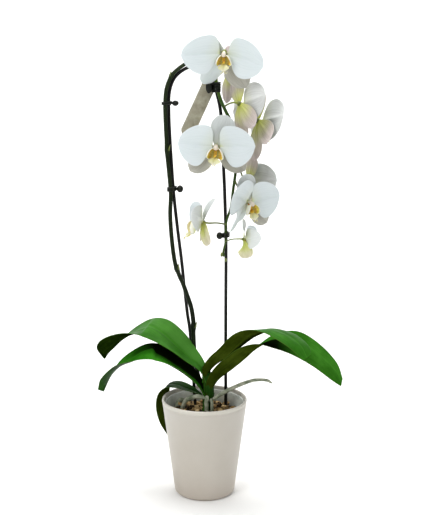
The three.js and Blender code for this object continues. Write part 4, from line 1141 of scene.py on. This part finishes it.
def makeTag():
    s = tagSpec
    clearSelection()
    bpy.ops.mesh.primitive_plane_add(size=1)
    tag = bpy.context.object
    tag.name = "plantTag"
    tag.scale = (s["width"] * milli, s["length"] * milli, 1)
    bpy.ops.object.transform_apply(scale=True)
    bpy.ops.object.mode_set(mode="EDIT")
    for side in (-1, 1):  # the two cuts of the push-in point
        cutTag((side * s["width"] / 2, s["point"] - s["length"] / 2),
               Vector((side * s["point"], -s["width"] / 3)).normalized(), True)
    bpy.ops.mesh.select_all(action="SELECT")
    bpy.ops.mesh.bevel(offset=s["corner"] * milli, segments=4, affect="VERTICES")
    for i in range(1, s["rows"]):  # rows that let it bow
        cutTag((0, (i / s["rows"] - 0.5) * s["length"]), (0, 1))
    for i in range(1, s["columns"]):
        cutTag(((i / s["columns"] - 0.5) * s["width"], 0), (1, 0))
    bpy.ops.object.mode_set(mode="OBJECT")
    for vertex in tag.data.vertices:
        x, y = vertex.co.x / milli, vertex.co.y / milli
        bow = s["curl"] * x * x - s["bow"] * math.cos(y / s["bowLength"])
        vertex.co = Vector((x, bow, y - s["length"] / 2)) * milli
    tag.data.materials.append(labelPlastic)
    shell = tag.modifiers.new("thickness", "SOLIDIFY")
    shell.thickness = s["thickness"] * milli
    shell.offset = 0
    edges = tag.modifiers.new("edges", "BEVEL")
    edges.width = s["edge"] * milli
    edges.segments = 2
    edges.limit_method = "ANGLE"
    applyModifiers(tag)
    tilt = Matrix.Rotation(math.radians(s["tilt"]), 4, "Y")
    tag.data.transform(Matrix.Translation(Vector(s["top"]) * milli) @ tilt)
    bpy.ops.object.shade_smooth_by_angle(angle=math.radians(40))
    settle(tag, "tag", "plant_tag")


makeTag()
print("clips and label")

# a tepal's outline is its half width along its length, as a share of the widest. A petal has a
# lower side, left, and an upper side, right
tepalShapes = {
    "dorsal": {"length": 44, "width": 34, "start": 0, "lift": 0, "along": 26, "across": 16,
               "left": [(0, 0.2), (0.12, 0.42), (0.3, 0.78), (0.5, 0.97), (0.66, 1), (0.82, 0.86),
                        (0.94, 0.55), (1, 0.03)],
               "crease": 0.5, "pillow": 0.4, "cup": 0.05, "wave": 0.25},
    "lateral": {"length": 54, "width": 30, "start": 0, "lift": 0, "along": 28, "across": 16,
                "left": [(0, 0.2), (0.12, 0.38), (0.3, 0.74), (0.48, 0.97), (0.6, 1),
                         (0.78, 0.86), (0.92, 0.52), (1, 0.03)],
                "crease": 0.7, "pillow": 0.5, "cup": 0.05, "wave": 0.3},
    "youngLateral": {"length": 45, "width": 34, "start": 0, "lift": 0, "along": 28, "across": 16,
                     "left": [(0, 0.2), (0.12, 0.42), (0.3, 0.8), (0.48, 0.98), (0.62, 1),
                              (0.8, 0.9), (0.94, 0.6), (1, 0.03)],
                     "crease": 0.7, "pillow": 0.5, "cup": 0.05, "wave": 0.3},
    "petal": {"length": 50, "width": 58, "start": 3.4, "lift": 3.6, "along": 34, "across": 28,
              "left": [(0, 0.1), (0.06, 0.16), (0.14, 0.34), (0.24, 0.7), (0.36, 0.94), (0.48, 1),
                       (0.62, 0.94), (0.78, 0.74), (0.92, 0.42), (1, 0.02)],
              "right": [(0, 0.16), (0.02, 0.5), (0.07, 0.82), (0.15, 0.96), (0.28, 1),
                        (0.48, 0.96), (0.7, 0.78), (0.86, 0.54), (0.95, 0.32), (1, 0.02)],
              "crease": 1.5, "pillow": 1.1, "cup": 0.08, "wave": 0.6},
}
tepalFinish = {"thickness": 0.9, "edgeShare": 0.4, "creaseWidth": 2.2, "droop": 0.5,
               "droopFrom": 0.7, "footStart": 0.03}


# where a tepal's point (u, v) is in its flower's frame. turn is its direction from the top, lean
# brings its tip forward, twist turns its sides, and high says which side is its upper one
def tepalSurface(shape, turn, lean, twist, spread, size, high, seed):
    finish = tepalFinish
    way = Vector((math.sin(math.radians(turn)), math.cos(math.radians(turn)), 0))
    side = Vector((way.y, -way.x, 0))

    def surface(u, v):
        foot = finish["footStart"]
        s = foot + (1 - foot) * math.sin(math.pi / 2 * u)
        edge = shape["right"] if "right" in shape and v * high > 0 else shape["left"]
        half = shape["width"] / 2 * size * spread * max(curveAt(edge, s), 0.0)
        out = (shape["start"] + shape["length"] * s) * size
        bend = math.radians(lean) * s
        across = half * v
        rise = math.sin(math.pi * min(1.0, s * 1.05)) ** 0.7 if s < 0.95 else 0.0
        crease = shape["crease"] * bump(across, 0, finish["creaseWidth"] * size) * rise
        pillow = shape["pillow"] * math.sin(math.pi * min(1, abs(v))) * rise
        wave = shape["wave"] * abs(v) ** 3 * math.sin(7 * s + 3 * v + seed)
        droop = finish["droop"] * shape["length"] * max(0.0, s - finish["droopFrom"]) ** 2
        forward = (out * math.sin(bend) + shape["cup"] * half * v * v
                   + size * (shape["lift"] - crease + pillow + wave - droop))
        over = math.radians(twist) * min(1.0, 1.7 * s) ** 2
        place = way * out * math.cos(bend) + side * across * math.cos(over)
        return Vector((place.x, place.y, forward + across * math.sin(over)))

    return surface


def growTepal(name, kind, flower, turn, lean, twist, high, seed, faces):
    shape = tepalShapes[kind]
    spread = flower.get("spread", 1) if kind == "petal" else 1
    flat = tepalSurface(shape, turn, lean, twist, spread, flower["size"], high, seed)
    matrix = flowerMatrix(flower)
    tepal = gridPiece(name, lambda u, v: matrix @ flat(u, v), shape["along"], shape["across"])
    return thickenSheet(tepal, shape["along"], shape["across"], tepalFinish["thickness"],
                        tepalFinish["edgeShare"], faces)


# the lip's parts in a flower's frame at size 1. The lobe's rim and the tendril are the right ones
lipSpec = {
    "column": [(0, 0.5, 0), (0, 0.8, 4), (0, 0.2, 9), (0, -1.8, 13.4)],
    "cap": [(0, 0.4, 10.8), (0, -1.2, 13.0), (0, -2.8, 14.6)],
    "lobeRim": [(3.2, -0.6, 13), (8, -3.4, 16), (11.4, -9.6, 16.5), (11.6, -15.2, 14.5),
                (6.6, -17.6, 14.5)],
    "lobeThickness": 0.9, "tongueThickness": 1.2, "edgeShare": 0.5,
    "tendril": [(1, -23, 19), (2.6, -25.4, 20), (4.6, -25.6, 19), (5.4, -23.6, 17.6)],
    "tongue": [(0, -12, 8), (0, -16, 11.5), (0, -20.5, 15.5), (0, -23.6, 19.4)],
    "tongueHalf": [(0, 3), (0.25, 3.4), (0.5, 7.6), (0.62, 8.2), (0.8, 4.4), (1, 0.8)],
    "callus": [(0, -8.5, 8.2), (0, -11.5, 11), (0, -13.2, 13.8)],
    "foot": [(0, 0, 4.4), (0, -6, 5.4), (0, -11, 8)],
}


def lipSheet(name, surface, along, across, thickness, faces):
    part = gridPiece(name, surface, along, across)
    return thickenSheet(part, along, across, thickness, lipSpec["edgeShare"], faces)


def roundEnds(t, least):  # half an ellipse from end to end, never quite closed
    return math.sqrt(max(least, 1 - (2 * t - 1) ** 2))


def lipModel():  # modelled once at size 1 and copied to each flower
    s = lipSpec

    def columnRadius(t, turn):
        return (2.1 + 1.2 * t + 0.5 * bump(t, 0.86, 0.12)) * min(1.0, 0.3 + 6 * (1 - t)) ** 0.5

    def capRadius(t, turn):  # the anther cap at the column's tip
        return 2.5 * roundEnds(t, 0.02) * (1 + 0.1 * math.cos(2 * turn))

    parts = [stemPiece("column", s["column"], columnRadius, 24, 28, columnTissue),
             stemPiece("cap", s["cap"], capRadius, 20, 16, columnTissue)]
    for side in (-1, 1):
        def lobe(u, v, side=side):
            # u from the lobe's foot to its rim, v from its top edge to its lower front corner
            w = (v + 1) / 2
            foot = Vector((side * (1.6 + 1.4 * w), -3 - 12 * w, 6 + 6 * w))
            rim = splinePoint([(side * x, y, z) for x, y, z in s["lobeRim"]], w)
            bulge = Vector((side * 3.4, -0.5, -2.4)) * math.sin(math.pi * u ** 0.8)
            curl = Vector((-side * 1.6, 0, 1.2)) * max(0.0, u - 0.75) * 4 * math.sin(math.pi * w)
            return foot.lerp(rim, u) + bulge + curl

        faces = [lobeInside, lobeOutside] if side > 0 else [lobeOutside, lobeInside]
        parts.append(lipSheet("lobe", lobe, 16, 20, s["lobeThickness"], faces))
        path = [(side * x, y, z) for x, y, z in s["tendril"]]
        parts.append(stemPiece("tendril", path, lambda t, turn: 0.55 - 0.3 * t, 8, 16,
                               tongueUnder))

    def tongue(u, v):  # the middle lobe: a narrow neck, two blunt shoulders and a point
        half = curveAt(s["tongueHalf"], u)
        keel = -1.2 * bump(v * half, 0, 1.6) * math.sin(math.pi * u)
        dip = 0.22 * half * v * v
        return splinePoint(s["tongue"], u) + Vector((half * v, 0.5 * dip + 0.6 * keel, dip + keel))

    def callusRadius(t, turn):
        return 2.3 * roundEnds(t, 0.03) * (1 + 0.3 * math.cos(2 * turn))

    def footRadius(t, turn):
        return 2.6 + 0.6 * math.sin(math.pi * t)

    parts += [lipSheet("tongue", tongue, 24, 16, s["tongueThickness"], [tongueTop, tongueUnder]),
              stemPiece("callus", s["callus"], callusRadius, 20, 16, callusTissue),
              stemPiece("foot", s["foot"], footRadius, 18, 14, callusTissue)]
    return joinPieces("lipModel", parts)


lipSource = lipModel()


def growFlower(number, flower):
    cad = "flower_%d" % number
    size = flower["size"]
    young = "young" in flower
    matrix = flowerMatrix(flower)
    for i, half in enumerate(("left", "right")):
        petal = growTepal("%s_petal_%s_tissue" % (cad, half), "petal", flower,
                          flower["petals"][i], flower["petalLeans"][i], 0, 1 - 2 * i,
                          number + 2.1 * i, [petalFace, youngPetal if young else petalBack])
        settle(petal, "petal", "%s_petal_%s" % (cad, half))

    twists = flower.get("twists", (0, 0, 0))
    lateral, lateralSide = ("youngLateral", youngBack) if young else ("lateral", paintedShadeSepalFace)
    sepals = []
    for i, turn in enumerate(flower["sepals"]):
        # a turned sepal of an open flower takes the plain white face, without the painted shade of
        # the lateral face
        face = dorsalFace if i == 0 else petalFace if twists[i] and not young else lateralSide
        sepals.append(growTepal("sepal", lateral if i else "dorsal", flower, turn,
                                flower["sepalLeans"][i], twists[i], 1, number + 1.3 * i,
                                [face, youngBack if young else sepalBack]))

    def hubRadius(t, turn):
        ends = math.sqrt(max(0.04, 1 - (1.9 * t - 0.95) ** 2))
        return 3.7 * size * ends * (1 + 0.05 * math.cos(3 * turn))

    path = [matrix @ Vector((0, 0, z * size)) for z in (-3.6, -1.2, 1.4)]
    sepals.append(stemPiece("hub", path, hubRadius, 24, 14, stalkTissue))
    settle(joinPieces(cad + "_sepals_tissue", sepals), "petal", cad + "_sepals")
    lipSize = Matrix.Scale(size * flower.get("lipSize", 1), 4)
    lipMatrix = Matrix.Scale(milli, 4) @ matrix @ lipSize @ Matrix.Scale(1 / milli, 4)
    settle(copyPiece(lipSource, cad + "_lip_tissue", lipMatrix), "lip", cad + "_lip")


for flowerNumber, flowerSpec in enumerate(flowerSpecs, 1):
    growFlower(flowerNumber, flowerSpec)
bpy.data.objects.remove(lipSource)
print("flowers")

budSpecs = {  # unopened, at the spike's tip
    "tip_bud_1": {"at": (25.5, 13, 364), "length": 7, "radius": 2},
    "tip_bud_2": {"at": (31.5, 12, 356), "length": 6, "radius": 1.7},
}


def makeBud(name, spec):
    def width(tilt, turn):  # three blunt ridges, and thinner towards its tip
        ridge = 1 + 0.1 * math.cos(3 * turn) * math.cos(tilt)
        return spec["radius"] * ridge * math.cos(tilt) * (1 - 0.2 * math.sin(tilt))

    bud = eggPiece(name + "_tissue", Vector(spec["at"]), width, spec["length"] / 2, 18, 24,
                   stalkTissue)
    settle(bud, "bud", name)


for budName, budSpec in budSpecs.items():
    makeBud(budName, budSpec)
print("buds")
